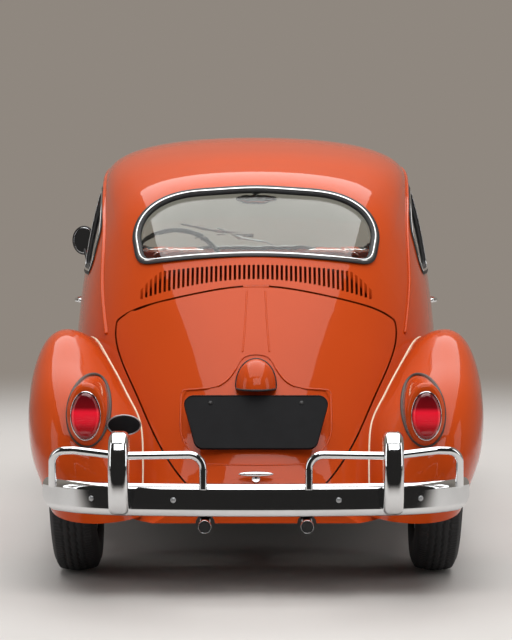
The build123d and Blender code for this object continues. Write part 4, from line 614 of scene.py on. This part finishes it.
def wheelFrame(corner):
    # place of the hub, direction of the axle, upwards and ahead
    spin = jointOf["wheel_spin_" + corner]
    axle = unit(np.array(spin["axis"], float))
    up = unit(np.cross(axle, [0, 1.0, 0.0]))
    up = up if up[2] > 0 else -up
    return np.array(spin["pos_m"], float), axle, up, np.cross(up, axle)


def tyreSection(corner, hub, axle, up):
    # outline as (across, radius), felt from outside towards the middle of the tyre's ring, and closed inside
    section = []
    for turn in np.radians(np.linspace(tyreLook["sectionFrom"], tyreLook["sectionTo"], tyreLook["sectionSteps"])):
        ray = axle * math.cos(turn) + up * math.sin(turn)
        place = touch("tyre_" + corner, hub + up * tyreLook["sectionRadius"] + ray * 0.3, -ray)[0] - hub
        section.append((place @ axle, place @ up))
    inner = [[section[end][0] * 0.7, section[end][1] + 0.004] for end in (-1, 0)]
    return np.vstack([section, inner]).T


for corner in corners:
    hub, axle, up, ahead = wheelFrame(corner)
    across, radius = tyreSection(corner, hub, axle, up)
    count = tyreLook["around"]
    turn = np.arange(count) * 2 * math.pi / count
    middle = (across.max() + across.min()) / 2
    place = across - middle
    onTread = np.clip((radius - (radius.max() - tyreLook["treadDrop"])) / 0.006, 0, 1)
    onTread = onTread * (np.abs(place) < tyreLook["treadHalf"])
    # sink = deepest of the zigzag grooves and the sipes, on the tread, plus the skin, less the side rings
    wave = tyreLook["zigzag"] * (2 / math.pi) * np.arcsin(np.sin(turn[:, None] * tyreLook["zigzagCount"]))
    sink = np.zeros((count, len(place)))
    for rib in tyreLook["ribs"]:
        inside = np.clip(1.5 - np.abs(place[None, :] - rib - wave) / tyreLook["grooveWidth"] * 2, 0, 1)
        sink = np.maximum(sink, inside * tyreLook["grooveDepth"])
    sipe = (np.arange(count) % (count // tyreLook["sipes"]) == 0)[:, None] & (np.abs(place) > tyreLook["sipeFrom"])
    sink = np.maximum(sink, sipe * tyreLook["sipeDepth"]) * onTread + tyreLook["skin"]
    onSide = (radius > tyreLook["side"][0]) & (radius < tyreLook["side"][1])
    for at, height, width in tyreLook["rings"]:
        sink = sink - onSide * height * np.exp(-((radius - at) / width) ** 2)
    inward = unit(np.stack([np.gradient(radius), -np.gradient(across)], -1))
    towards = np.stack([middle - across, tyreLook["sectionRadius"] - radius], -1)
    inward = inward * np.sign((inward * towards).sum(1))[:, None]
    newAcross, newRadius = across + inward[:, 0] * sink, radius + inward[:, 1] * sink
    spoke = up * np.cos(turn)[:, None] + ahead * np.sin(turn)[:, None]
    grid = hub + axle * newAcross[:, :, None] + spoke[:, None, :] * newRadius[:, :, None]
    tyre = addMesh("tyreTread_" + corner, grid, gridFaces(count, len(place), True, True), tyreRubber,
                   "wheel_" + corner)
    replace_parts(tyre, "tyre_" + corner)
print("tyres")


def padShape(name, points, x, width, voxel, shrink, rows=41, columns=56):
    # block from a side outline of (y, z), swept across the car by width, its last tenth drawn in by half
    outline = np.array(points, float)
    centre = outline.mean(0)
    outline = centre + (outline - centre) * (1 - 2 * shrink / np.ptp(outline, axis=0).max())
    curve = smoothPath(np.vstack([outline, outline[:1]]), columns + 1)[:-1]
    straight = evenly(np.column_stack([outline, np.zeros(len(outline))]), columns)[:, :2]
    steps = curve * 0.35 + straight * 0.65
    across = np.linspace(-1, 1, rows)
    pinch = 1 - 0.5 * np.maximum(np.abs(across) - 0.9, 0) / 0.1
    grid = np.empty((rows, columns, 3))
    grid[:, :, 0] = x + (across * (width / 2 - shrink))[:, None]
    grid[:, :, 1:] = steps.mean(0) + (steps - steps.mean(0))[None] * pinch[:, None, None]
    ends = [list(range(columns)), list(range((rows - 1) * columns, rows * columns))[::-1]]
    pad = addMesh(name, grid, gridFaces(rows, columns, False, True) + ends, leather)
    remesh = pad.modifiers.new("evenSkin", "REMESH")
    remesh.mode, remesh.voxel_size, remesh.use_smooth_shade = "VOXEL", voxel, True
    mesh = bpy.data.meshes.new_from_object(pad.evaluated_get(bpy.context.evaluated_depsgraph_get()))
    pad.modifiers.clear()
    pad.data = mesh
    smooth(mesh)
    return pad


def swell(pad, cap, pressure=4, frames=20):
    # cloth blown up for a few frames, no point moved by more than cap
    before = readVectors(pad.data.vertices, "co")
    cloth = pad.modifiers.new("padding", "CLOTH")
    cloth.settings.use_pressure = True
    cloth.settings.uniform_pressure_force = pressure
    cloth.settings.effector_weights.gravity = 0
    cloth.settings.quality = 4
    cloth.point_cache.frame_start, cloth.point_cache.frame_end = 1, frames
    for step in range(1, frames + 1):
        bpy.context.scene.frame_set(step)
    graph = bpy.context.evaluated_depsgraph_get()
    move = readVectors(pad.evaluated_get(graph).data.vertices, "co") - before
    pad.modifiers.remove(cloth)
    bpy.context.scene.frame_set(1)
    size = np.linalg.norm(move, axis=1, keepdims=True)
    pad.data.vertices.foreach_set("co", (before + move * np.minimum(1, cap / np.maximum(size, 1e-9))).ravel())


def cushion(name, points, x, width, along, channels, voxel=0.01, cap=0.012, shrink=0.008, depth=0.006):
    # padded block with sewn channels: point - along * sink, sink = depth * (1 - root of the place in its channel)
    # between the piping seams, and 0.8 * depth in the seams, where the skin faces along
    pad = padShape(name, points, x, width, voxel, shrink)
    swell(pad, cap)
    spots = readVectors(pad.data.vertices, "co")
    along = unit(np.array(along, float))
    share = (spots[:, 0] - x) / (width / 2)
    groove = np.abs(np.mod(share * channels / 2 * 0.86 + 0.5, 1) - 0.5)
    inside = np.clip((0.8 - np.abs(share)) / 0.03, 0, 1)
    facing = np.clip((readVectors(pad.data.vertices, "normal") @ along - 0.55) / 0.25, 0, 1)
    rounded = np.clip(groove / 0.5, 0, 1) ** 0.5
    seam = np.exp(-((np.abs(share) - 0.82) / 0.018) ** 2)
    sink = (depth * (1 - rounded) * inside + depth * 0.8 * seam) * facing
    pad.data.vertices.foreach_set("co", (spots - along * sink[:, None]).ravel())
    finer = pad.modifiers.new("finerSkin", "SUBSURF")
    finer.levels = finer.render_levels = 1
    return pad


def carY(share):
    # y at a share of the wheelbase behind the front axle
    return 1.27 - share * 2.4


# side outlines as (y, z)
seats = {
    "offset": 0.336, "width": 0.466, "channels": 9, "runnerAt": 0.34, "runnerHalf": 0.013,
    "pad": [(carY(0.55), 0.279), (carY(0.365), 0.2865), (carY(0.362), 0.4065), (carY(0.55), 0.3915)],
    "back": [(carY(0.535), 0.3945), (carY(0.492), 0.3945), (carY(0.545), 0.924), (carY(0.592), 0.924)],
    "benchWidth": 0.88844, "benchChannels": 17,
    "benchPad": [(carY(0.85), 0.4715), (carY(0.69), 0.4715), (carY(0.69), 0.5665), (carY(0.85), 0.54)],
    "benchBack": [(carY(0.846), 0.519), (carY(0.795), 0.519), (carY(0.855), 0.876), (carY(0.905), 0.876)],
}
for side, sign in sides.items():
    x, width = sign * seats["offset"], seats["width"]
    pieces = [cushion("seatPad" + side, seats["pad"], x, width, (0, 0.06, 1), seats["channels"]),
              cushion("seatBack" + side, seats["back"], x, width, (0, 0.97, 0.23), seats["channels"])]
    for number, run in enumerate((-1, 1)):
        left = x + run * seats["runnerAt"] * width
        pieces.append(slab("seatRunner%s%d" % (side, number), (left - seats["runnerHalf"], carY(0.535), 0.2155),
                           (left + seats["runnerHalf"], carY(0.385), 0.279), darkSteel))
    for piece in pieces:
        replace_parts(piece, "front_seats")
for name, along in (("benchPad", (0, 0.1, 1)), ("benchBack", (0, 0.93, 0.36))):
    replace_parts(cushion(name, seats[name], 0, seats["benchWidth"], along, seats["benchChannels"], voxel=0.013),
                "rear_seat")
print("seats")

board = {"ribs": 9, "ribWidth": 0.0042, "inner": 0.625, "trim": 0.02, "trimRadius": 0.0055, "trimDown": 0.008}
boardLow, boardHigh = boxOf("running_boards")
outer = boardHigh[0] - board["trim"]
for side, sign in sides.items():
    for number, x in enumerate(np.linspace(board["inner"], outer, board["ribs"])):
        line = [(sign * x, y, 1.2) for y in np.linspace(boardLow[1] + 0.02, boardHigh[1] - 0.02, 120)]
        places, _ = layOn("running_boards", line, (0, 0, -1))
        places = places[places[:, 2] > boardHigh[2] - 0.004]
        if len(places) > 8:
            carryAlong("boardRib%s%d" % (side, number), places + [0, 0, 0.0004], (0, 0, 1),
                       circle(board["ribWidth"], 8, 0.7), rubber, slot="dark_metal")
    height = boardHigh[2] - board["trimDown"]
    line = [(sign * 2.0, y, height) for y in np.linspace(boardLow[1] + 0.01, boardHigh[1] - 0.01, 140)]
    places, _ = layOn("running_boards", line, (-sign, 0, 0))
    carryAlong("boardTrim" + side, places[np.abs(places[:, 0]) > outer], (sign, 0, 0),
               circle(board["trimRadius"], 10, 0.6), chrome)
print("running boards")

doorHandle = {"y": 0.035, "z": 0.872, "length": 0.132, "proud": 0.034, "lockBehind": 0.09,
              "base": [(0, 0.0052), (0.01, 0.005), (0.0145, 0.003), (0.0155, -0.001)],
              "lock": [(0, 0.003), (0.0035, 0.003), (0.004, 0.0042), (0.0085, 0.004), (0.0105, 0.0022),
                       (0.011, -0.001)]}
for side, sign in sides.items():
    door = "door_" + side.lower()
    rear, front, lock = (touch(door, (sign * 2, doorHandle["y"] + dy, doorHandle["z"]), (-sign, 0, 0)) for dy in
                         (-doorHandle["length"] / 2, doorHandle["length"] / 2, -doorHandle["lockBehind"]))
    out = unit(rear[1] + front[1])
    grip = out * doorHandle["proud"]
    line = [rear[0] - [0, 0.004, 0], rear[0] + out * 0.02, rear[0] * 0.8 + front[0] * 0.2 + grip,
            rear[0] * 0.3 + front[0] * 0.7 + grip, front[0] + out * 0.022, front[0] + [0, 0.004, 0]]
    carryAlong("doorHandle" + side, smoothPath(line, 48), out, circle(0.0078, 14, 0.72), chrome, door)
    for number, end in enumerate((rear, front)):
        turned("doorHandleBase%s%d" % (side, number), doorHandle["base"], *end[:2], chrome, door, count=32,
               squash=(1.0, 1.25))
    turned("doorLock" + side, doorHandle["lock"], *lock[:2], chrome, door, count=32)
print("door handles")

ventBar = {"y": 0.565, "lean": 0.1, "radius": 0.0052, "proud": 0.003}
for side, sign in sides.items():
    low, high = boxOf("door_glass_" + side.lower())
    line = [(sign * 2, ventBar["y"] - ventBar["lean"] * (z - low[2]), z)
            for z in np.linspace(low[2] - 0.01, high[2] + 0.01, 60)]
    places, _ = layOn("door_glass_" + side.lower(), line, (-sign, 0, 0))
    carryAlong("ventBar" + side, places + [sign * ventBar["proud"], 0, 0], (sign, 0, 0),
               circle(ventBar["radius"], 10, 0.8), chrome, "door_" + side.lower())
print("vent window bars")

# arms rest to the left of their pivots; heights are above the foot of the windshield
wiper = {"pivots": (-0.36, 0.14), "reach": 0.3, "tipUp": 0.085, "blade": 0.3, "bladeUp": 0.075, "bladeBow": 0.02,
         "bladeLean": 0.05, "pivotDown": 0.012,
         "pivot": [(0, 0.012), (0.006, 0.011), (0.009, 0.007), (0.0115, 0.004), (0.0125, -0.002)],
         "section": [(-0.0035, -0.0052), (-0.0035, 0.002), (0, 0.006), (0.0035, 0.002), (0.0035, -0.0052)]}
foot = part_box("windshield")[0][2]
for number, x in enumerate(wiper["pivots"]):
    base, out, _ = touch("body_shell", (x, 3.0, foot - wiper["pivotDown"]), (0, -1, 0))
    turned("wiperPivot%d" % number, wiper["pivot"], base, out, darkSteel, count=28)
    tipX = x - wiper["reach"]
    hit = touch("windshield", (tipX, 3.0, foot + wiper["tipUp"]), (0, -1, 0))
    if hit is None:
        continue  # this arm would end beyond the glass, so only its pivot shows
    tip, tipOut, _ = hit
    line = [(tipX + share * wiper["blade"], 3.0,
             foot + wiper["bladeUp"] + wiper["bladeBow"] * abs(share) - wiper["bladeLean"] * share)
            for share in np.linspace(-0.5, 0.5, 24)]
    places, normals = layOn("windshield", line, (0, -1, 0))
    carryAlong("wiperBlade%d" % number, places + normals * 0.006, tipOut, wiper["section"], rubber)
    arm = [base + out * 0.007, base * 0.7 + tip * 0.3 + [0, -0.004, 0.012], base * 0.3 + tip * 0.7 + out * 0.016,
           tip + tipOut * 0.014]
    carryAlong("wiperArm%d" % number, smoothPath(arm, 30), out, circle(0.0042, 10, 0.6), steelGrey, slot="dark_metal")
print("wipers")

insideMirror = {"topHeight": 1.292, "back": 0.075, "down": 0.03, "half": (0.085, 0.024), "glass": (0.081, 0.02)}
top = touch("windshield", (0, 3.0, insideMirror["topHeight"]), (0, -1, 0))[0]
middle = top - [0, insideMirror["back"], insideMirror["down"]]
dome("insideMirrorShell", middle, (0, 1, 0), insideMirror["half"], 0.012, blackPlastic, slot="black_plastic")
dome("insideMirrorGlass", middle - [0, 0.0022, 0], (0, -1, 0), insideMirror["glass"], 0.0012, mirrorGlass, rings=5)
stay = smoothPath([middle + [0, 0.008, 0.006], middle + [0, 0.035, 0.03], top + [0, -0.012, 0.04]], 20)
carryAlong("insideMirrorStay", stay, (1, 0, 0), circle(0.0045, 10), steelGrey, slot="chrome")
print("inside mirror")

doorMirror = {"inset": 0.048, "down": 0.06, "glass": (0.0425, 0.0545), "rim": (0.0448, 0.0568), "rimRadius": 0.0026}
mirrorLow, mirrorHigh = boxOf("mirror_left")
start = (mirrorLow[0] + doorMirror["inset"], -2.0, mirrorHigh[2] - doorMirror["down"])
face = touch("mirror_left", start, (0, 1, 0))[0]
dome("doorMirrorGlass", face - [0, 0.0006, 0], (0, -1, 0), doorMirror["glass"], 0.0015, mirrorGlass, "door_left", 5, 56)
carryAlong("doorMirrorRim", ellipseRing(face - [0, 0.0002, 0], *doorMirror["rim"], 72),
           (0, -1, 0), circle(doorMirror["rimRadius"], 10), blackPlastic, "door_left", closed=True,
           slot="black_plastic")
print("mirrors")

tailPipe = {"x": 0.165, "z": 0.24, "radius": 0.0212, "wall": 0.0016, "length": 0.075}
outer, inner, run = tailPipe["radius"], tailPipe["radius"] - tailPipe["wall"], tailPipe["length"]
tipSection = [(0, -0.004), (inner - 0.004, -0.004), (inner, -0.002), (inner, 0.0015), (inner + 0.0008, 0.0025),
              (outer, 0.0012), (outer, -run), (inner, -run)]
# painted shade: a dark disc set just inside each capped tip stands for the pipe's dark hollow
mouthShadeSection = [(0, -0.0015), (inner * 0.6, -0.0012), (inner - 0.0004, -0.0006), (inner - 0.0004, -0.0036)]
for side, sign in sides.items():
    middle = (sign * tailPipe["x"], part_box("exhaust")[0][1] - 0.002, tailPipe["z"])
    turned("tailPipeTip" + side, tipSection, middle, (0, -1, 0), chrome, count=56)
    turned("tailPipeMouthShade" + side, mouthShadeSection, middle, (0, -1, 0), underBlack, count=40)
print("tail pipe tips")

rimLook = {"slots": 16, "slotRadius": 0.156, "slotHalf": (0.0125, 0.004), "slotPoints": 14,
           "badge": [(0, 0.0032), (0.018, 0.003), (0.026, 0.0022), (0.0285, -0.001)],
           "line": [(0.0205, 0.0026), (0.0212, 0.004), (0.0228, 0.004), (0.0236, 0.0024)]}
for corner in corners:
    hub, axle, up, ahead = wheelFrame(corner)
    out = axle * np.sign(axle[0] * hub[0])
    crown = touch("hubcap_" + corner, hub + out * 0.6, -out)[0]
    turned("hubBadge_" + corner, rimLook["badge"], crown, out, chrome, "wheel_" + corner, count=64)
    turned("hubBadgeLine_" + corner, rimLook["line"], crown, out, blackPlastic, "wheel_" + corner, count=64)
    # painted shade of the cooling slots round the wheel disc: each a dark flat oval laid on it where a slot's hole
    # would be
    spots, faces, count = [], [], rimLook["slotPoints"]
    for turn in 2 * math.pi * (np.arange(rimLook["slots"]) + 0.5) / rimLook["slots"]:
        spoke = ahead * math.cos(turn) + up * math.sin(turn)
        along = np.cross(out, spoke)
        place, normal, _ = touch("rim_" + corner, hub + spoke * rimLook["slotRadius"] + out * 0.6, -out)
        ring = ellipseRing(place + normal * 0.0012, *rimLook["slotHalf"], count, along, unit(np.cross(normal, along)))
        start = len(spots)
        spots += [*ring, *(ring - normal * 0.0022)]
        faces += [list(range(start, start + count)), list(range(start + count, start + 2 * count))[::-1]]
        faces += gridFaces(2, count, False, True, start)
    mergeDoubles(addMesh("rimSlots_" + corner, spots, faces, underBlack, "wheel_" + corner, outward=False))
print("wheel details")


def layCloth(name, node, starts, rays, wanted, joined, gap, thickness, material, body, closed=False, merge=0):
    # a sheet on a grid of felt places, each short of the surface by gap; a cell needs four wanted places
    # whose two diagonals are joined
    rows, columns = rays.shape[:2]
    starts, rays = (grid.reshape(-1, 3) for grid in (np.broadcast_to(starts, rays.shape), rays))
    hits = [touch(node, start, ray) for start, ray in zip(starts, rays)]
    known = np.array([bool(hit and wanted(hit)) for hit in hits])
    spots = np.array([hit[0] if hit else start for hit, start in zip(hits, starts)]) - rays * gap
    quads = np.array(gridFaces(rows, columns, False, closed))[:, [0, 3, 2, 1]]
    a, b, c, d = (spots[quads[:, i]] for i in range(4))
    quads = quads[known[quads].all(1) & joined(np.abs(a - c), np.abs(b - d))]
    sheet = addMesh(name, spots, quads.tolist(), material, body, outward=False)
    thicken(sheet, thickness, merge)
    return sheet


# only the inner side of the roof and its posts, so nothing across an opening
lining = {"gap": 0.004, "eye": (0, -0.1, 1.02), "rows": 46, "columns": 150, "lowest": math.radians(-8),
          "reach": 1.25, "above": 0.99, "halfWidth": 0.62, "rear": -0.92, "front": 0.62, "widest": 0.11}
liningFinish = finishOf("liningFinish", (0.42, 0.4, 0.36), 0.85, vary=0.06, varyScale=30, grain=0.5, grainScale=900)
high, turn = np.meshgrid(np.linspace(lining["lowest"], math.pi / 2, lining["rows"]),
                         np.linspace(0, 2 * math.pi, lining["columns"], endpoint=False), indexing="ij")
layCloth("headLining", "body_shell", np.array(lining["eye"], float),
         np.stack([np.cos(high) * np.sin(turn), np.cos(high) * np.cos(turn), np.sin(high)], -1),
         lambda hit: (hit[2] < lining["reach"] and hit[0][2] > lining["above"]
                      and abs(hit[0][0]) < lining["halfWidth"] and lining["rear"] < hit[0][1] < lining["front"]),
         lambda one, other: np.maximum(np.linalg.norm(one, axis=1), np.linalg.norm(other, axis=1)) < lining["widest"],
         lining["gap"], 0.002, liningFinish, "chassis", closed=True, merge=0.0005)
print("head lining")

dash = {"dial": (-0.33, 0.93), "dialRadius": 0.052, "needleAngle": math.radians(215), "needle": (-0.01, 0.04),
        "knobs": (-0.16, -0.1, 0.02, 0.08), "knobHeight": 0.905, "bars": np.linspace(0.89, 0.96, 9),
        "barEnds": (0.14, 0.29),
        "knob": [(0, 0.024), (0.009, 0.023), (0.0115, 0.018), (0.01, 0.012), (0.005, 0.01), (0.005, -0.001)]}
radius = dash["dialRadius"]
dial, out, _ = touch("dashboard", (dash["dial"][0], 0.2, dash["dial"][1]), (0, 1, 0))
turned("dialFace", [(0, 0.0016), (0.03, 0.0016), (radius, 0.0014), (radius, -0.001)], dial, out, blackPlastic, count=64)
turned("dialRim", [(radius - 0.003, 0.001), (radius - 0.001, 0.005), (radius + 0.004, 0.004), (radius + 0.006, -0.001)],
       dial, out, chrome, count=64)
pointing = np.array([math.cos(dash["needleAngle"]), 0, math.sin(dash["needleAngle"])])
carryAlong("dialNeedle", [dial + out * 0.0032 + pointing * end for end in dash["needle"]], out, circle(0.001, 6),
           beadVinyl)
for number, x in enumerate(dash["knobs"]):
    turned("dashKnob%d" % number, dash["knob"], *touch("dashboard", (x, 0.2, dash["knobHeight"]), (0, 1, 0))[:2],
           blackPlastic, count=28)
for number, z in enumerate(dash["bars"]):
    places, normals = layOn("dashboard", [(x, 0.2, z) for x in np.linspace(*dash["barEnds"], 24)], (0, 1, 0))
    carryAlong("dashGrille%d" % number, places, normals, circle(0.0021, 8), chrome)
print("dashboard details")

hoodTrim = {"handleHeight": 0.62, "stripRear": 0.985, "stripFront": 1.78,
            "handle": [(-0.055, -0.002, 0.004), (-0.035, 0.02, 0), (0, 0.026, -0.004), (0.035, 0.02, 0),
                       (0.055, -0.002, 0.004)],
            "strip": [(-0.006, -0.001), (-0.006, 0.002), (-0.003, 0.0042), (0.003, 0.0042), (0.006, 0.002),
                      (0.006, -0.001)]}
crown, out, _ = touch("hood", (0, 3.0, hoodTrim["handleHeight"]), (0, -1, 0))
carryAlong("hoodHandle", smoothPath(crown + hoodTrim["handle"], 40), out, circle(0.0068, 12, 0.8), chrome, "hood")
line = [(0, y, 2.0) for y in np.linspace(hoodTrim["stripRear"], hoodTrim["stripFront"], 90)]
carryAlong("hoodStrip", *layOn("hood", line, (0, 0, -1)), hoodTrim["strip"], chrome, "hood")

indicator = {"at": (0.555, 1.6), "heading": (0, 1, 0.1), "half": (0.017, 0.03), "bulge": 0.022,
             "base": [(0, 0.01), (0.018, 0.01), (0.022, 0.006), (0.023, -0.004)]}
heading = unit(np.array(indicator["heading"], float))
for side, sign in sides.items():
    crest = touch("front_fender_" + side.lower(), (sign * indicator["at"][0], indicator["at"][1], 2.0), (0, 0, -1))
    turned("indicatorBase" + side, indicator["base"], *crest[:2], chrome, count=40, squash=(1.0, 1.6))
    dome("indicatorGlass" + side, crest[0] + crest[1] * 0.0095, crest[1], indicator["half"],
         indicator["bulge"], amberLens, count=40, across=np.cross(crest[1], heading), up=heading)
print("hood handle and indicators")

bolt = {"z": 0.352, "x": (0.26, 0.52), "head": [(0, 0.004), (0.005, 0.0038), (0.0085, 0.0015), (0.0092, -0.001)]}
for side, sign in sides.items():
    for number, x in enumerate(bolt["x"]):
        turned("bumperBolt%s%d" % (side, number), bolt["head"],
               *touch("rear_bumper", (sign * x, -2.6, bolt["z"]), (0, 1, 0))[:2], steelGrey, count=24, slot="chrome")
print("bumper bolts")

# panels: lowest, highest, rearmost and foremost; handles' places as (y, z), their lines inwards, ahead and up
doorCard = {"gap": 0.0035, "thick": 0.004, "door": (0.415, 0.965, -0.045, 0.72), "from": 0.3, "widest": 0.66,
            "rear": (0.5, 0.975, -0.7, -0.125), "step": 0.05, "winder": (0.36, 0.78), "pull": (0.15, 0.76),
            "latch": (0.1, 0.87),
            "pullLine": [(0, -0.12, 0), (0.028, -0.1, 0.004), (0.034, 0, 0.006), (0.028, 0.1, 0.004), (0, 0.12, 0)],
            "latchLine": [(0, 0, 0), (0.01, 0.03, 0), (0.012, 0.085, -0.003)],
            "boss": [(0, 0.012), (0.01, 0.011), (0.014, 0.006), (0.016, -0.006)],
            "knob": [(0, 0.024), (0.006, 0.023), (0.0085, 0.016), (0.007, 0.004), (0.006, -0.002)]}
cardVinyl = finishOf("cardVinyl", (0.055, 0.052, 0.048), 0.5, vary=0.12, varyScale=25, grain=0.3, grainScale=420)


def panelInside(name, node, sign, area, body, rows=30, columns=44):
    # lining panel laid on the inner side of a wall, felt from the cabin's middle outwards
    z, y = np.meshgrid(np.linspace(*area[:2], rows), np.linspace(*area[2:], columns), indexing="ij")
    layCloth(name, node, np.stack([np.full_like(y, sign * doorCard["from"]), y, z], -1),
             np.full((rows, columns, 3), (float(sign), 0, 0)), lambda hit: hit[0][0] * sign < doorCard["widest"],
             lambda one, other: (one + other)[:, 0] < doorCard["step"], doorCard["gap"], doorCard["thick"],
             cardVinyl, body)


for side, sign in sides.items():
    door, inward = "door_" + side.lower(), np.array([-sign, 0, 0.0])
    panelInside("doorCard" + side, door, sign, doorCard["door"], door)
    face, pull, latch = (touch(door, (sign * doorCard["from"], *doorCard[key]), (sign, 0, 0))[0]
                         for key in ("winder", "pull", "latch"))
    turned("winderBoss" + side, doorCard["boss"], face + inward * 0.006, inward, chrome, door, count=32)
    knob = face + inward * 0.024 + [0, -0.062, -0.04]
    arm = smoothPath([face + inward * 0.018, face + inward * 0.022 + [0, -0.03, -0.02], knob], 20)
    carryAlong("winderArm" + side, arm, inward, circle(0.0055, 10, 0.6), chrome, door)
    turned("winderKnob" + side, doorCard["knob"], knob, inward, blackPlastic, door, count=28)
    line = smoothPath(pull + inward * 0.006 + np.array([-sign, 1, 1]) * doorCard["pullLine"], 40)
    carryAlong("doorPull" + side, line, (0, 0, 1), circle(0.01, 12, 1.2), cardVinyl, door)
    line = smoothPath(latch + inward * 0.008 + np.array([-sign, 1, 1]) * doorCard["latchLine"], 20)
    carryAlong("doorLatch" + side, line, inward, circle(0.0065, 10, 0.6), chrome, door)
    panelInside("rearCard" + side, "body_shell", sign, doorCard["rear"], "chassis", 26, 34)
print("door cards and side panels")

carpet = finishOf("carpet", (0.028, 0.026, 0.025), 0.95, vary=0.35, varyScale=160, grain=1.0, grainScale=1500)
mat = {"rise": 0.003, "thick": 0.005, "inner": 0.115, "outer": 0.5, "rear": -0.36, "front": 0.02, "rows": 30,
       "columns": 20}
for side, sign in sides.items():
    starts = [(sign * x, y, 0.52) for y in np.linspace(mat["rear"], mat["front"], mat["rows"])
              for x in np.linspace(mat["inner"], mat["outer"], mat["columns"])]
    places, _ = layOn("floor_pan", starts, (0, 0, -1))
    thicken(addMesh("rearMat" + side, places + [0, 0, mat["rise"]], gridFaces(mat["rows"], mat["columns"]),
                    carpet, outward=False), mat["thick"])
print("floor mats")

view = {"distance": 9.0, "height": 1.433, "tiltDown": 3.605, "lens": 147.3, "sensor": 36}
cameraData = bpy.data.cameras.new("rearCamera")
cameraData.lens, cameraData.sensor_width = view["lens"], view["sensor"]
rearCamera = bpy.data.objects.new("rearCamera", cameraData)
rearAxleY = jointOf["wheel_spin_rear_right"]["pos_m"][1]
rearCamera.location = (0, rearAxleY - view["distance"], view["height"])
rearCamera.rotation_euler = (math.radians(90 - view["tiltDown"]), 0, 0)
bpy.context.scene.collection.objects.link(rearCamera)
bpy.context.scene.camera = rearCamera

# the floor fades into the backdrop between two distances from the car; turn is how far a ray heads rearwards
backdrop = {"colour": (0.275, 0.243, 0.212), "behind": (0.022, 0.021, 0.02), "light": (0.22, 0.22, 0.22),
            "floor": (0.6, 0.575, 0.55), "fade": (3.6, 7.5), "floorTurn": (2.5, 3.6), "wallTurn": (-0.45, 0.45)}


def ranged(tree, value, low, high):
    # 0 below low, 1 above high, smooth between
    inputs = {"Value": value, "From Min": low, "From Max": high}
    return addNode(tree, "MapRange", inputs, interpolation_type="SMOOTHSTEP").outputs["Result"]


def maths(tree, operation, first, second):
    # operation of two values or sockets
    return addNode(tree, "Math", {0: first, 1: second}, operation=operation).outputs[0]


def studioColour(tree, output, turn):
    # backdrop colour, dark in reflections of what is behind the rear camera; 1 for the rays that see it;
    # 1 for the dark reflections; and the place that was read
    place = addNode(tree, "TexCoord").outputs[output]
    along = addNode(tree, "SeparateXYZ", {"Vector": place}).outputs["Y"]
    rearwards = ranged(tree, maths(tree, "MULTIPLY", along, -1.0), *turn)
    rays = addNode(tree, "LightPath").outputs
    dark = maths(tree, "MULTIPLY", rays["Is Glossy Ray"], rearwards)
    tone = addNode(tree, "Mix", data_type="RGBA", inputs={
        "Factor": dark, "A": [*backdrop["colour"], 1], "B": [*backdrop["behind"], 1]})
    seen = maths(tree, "MAXIMUM", rays["Is Camera Ray"], rays["Is Glossy Ray"])
    seen = maths(tree, "MAXIMUM", seen, rays["Is Transmission Ray"])
    return tone.outputs["Result"], seen, dark, place


def blendTo(tree, share, first, second, output):
    # the output shows first at share 0 and second at share 1
    blend = addNode(tree, "MixShader", {"Fac": share, 1: first, 2: second})
    tree.links.new(blend.outputs["Shader"], tree.nodes[output].inputs["Surface"])


floorFinish = finishOf("floorFinish", backdrop["floor"], 0.75, vary=0.02, varyScale=0.8)
tree = floorFinish.node_tree
tone, seen, dark, place = studioColour(tree, "Object", backdrop["floorTurn"])
far = addNode(tree, "Emission", {"Color": tone}).outputs["Emission"]
away = addNode(tree, "VectorMath", {0: place}, operation="LENGTH").outputs["Value"]
share = maths(tree, "MULTIPLY", ranged(tree, away, *backdrop["fade"]), seen)
blendTo(tree, maths(tree, "MAXIMUM", share, dark), tree.nodes["Principled BSDF"].outputs["BSDF"], far,
        "Material Output")
floorMesh = bpy.data.meshes.new("studioFloor")
floorMesh.from_pydata([(-40, -40, 0), (40, -40, 0), (40, 60, 0), (-40, 60, 0)], [], [(0, 1, 2, 3)])
floorMesh.materials.append(floorFinish)
studioFloor = bpy.data.objects.new("studioFloor", floorMesh)
bpy.context.scene.collection.objects.link(studioFloor)

world = bpy.data.worlds.new("studioWorld")
bpy.context.scene.world = world
world.use_nodes = True
tree = world.node_tree
tree.nodes["Background"].inputs["Color"].default_value = [*backdrop["light"], 1]
tone, seen, _, _ = studioColour(tree, "Generated", backdrop["wallTurn"])
wall = addNode(tree, "Background", {"Color": tone}).outputs["Background"]
blendTo(tree, seen, tree.nodes["Background"].outputs["Background"], wall, "World Output")

# place, what it faces, size and power; the front light doesn't show in reflections
lamps = {
    "overheadLight": ((0, -0.2, 4.6), (0, -0.1, 0), (5.4, 7.4), 330),
    "rearLight": ((0.6, -6.0, 4.8), (0, -1.2, 0.6), (4.6, 2.4), 110),
    "leftStrip": ((-5.6, -2.8, 2.4), (0, -0.8, 0.8), (2.0, 4.4), 50),
    "rightStrip": ((5.6, -2.8, 2.4), (0, -0.8, 0.8), (2.0, 4.4), 50),
    "frontLight": ((0, 6.8, 4.6), (0, 1.2, 0.6), (7.0, 3.4), 150),
}
for name, (place, aim, size, power) in lamps.items():
    light = bpy.data.lights.new(name, "AREA")
    light.shape, light.size, light.size_y, light.energy = "RECTANGLE", size[0], size[1], power
    lamp = bpy.data.objects.new(name, light)
    lamp.location = place
    lamp.visible_glossy = name != "frontLight"
    lamp.rotation_euler = (Vector(aim) - Vector(place)).to_track_quat("-Z", "Y").to_euler()
    bpy.context.scene.collection.objects.link(lamp)
bpy.context.scene.view_settings.view_transform = "Standard"
print("camera, floor and lights")
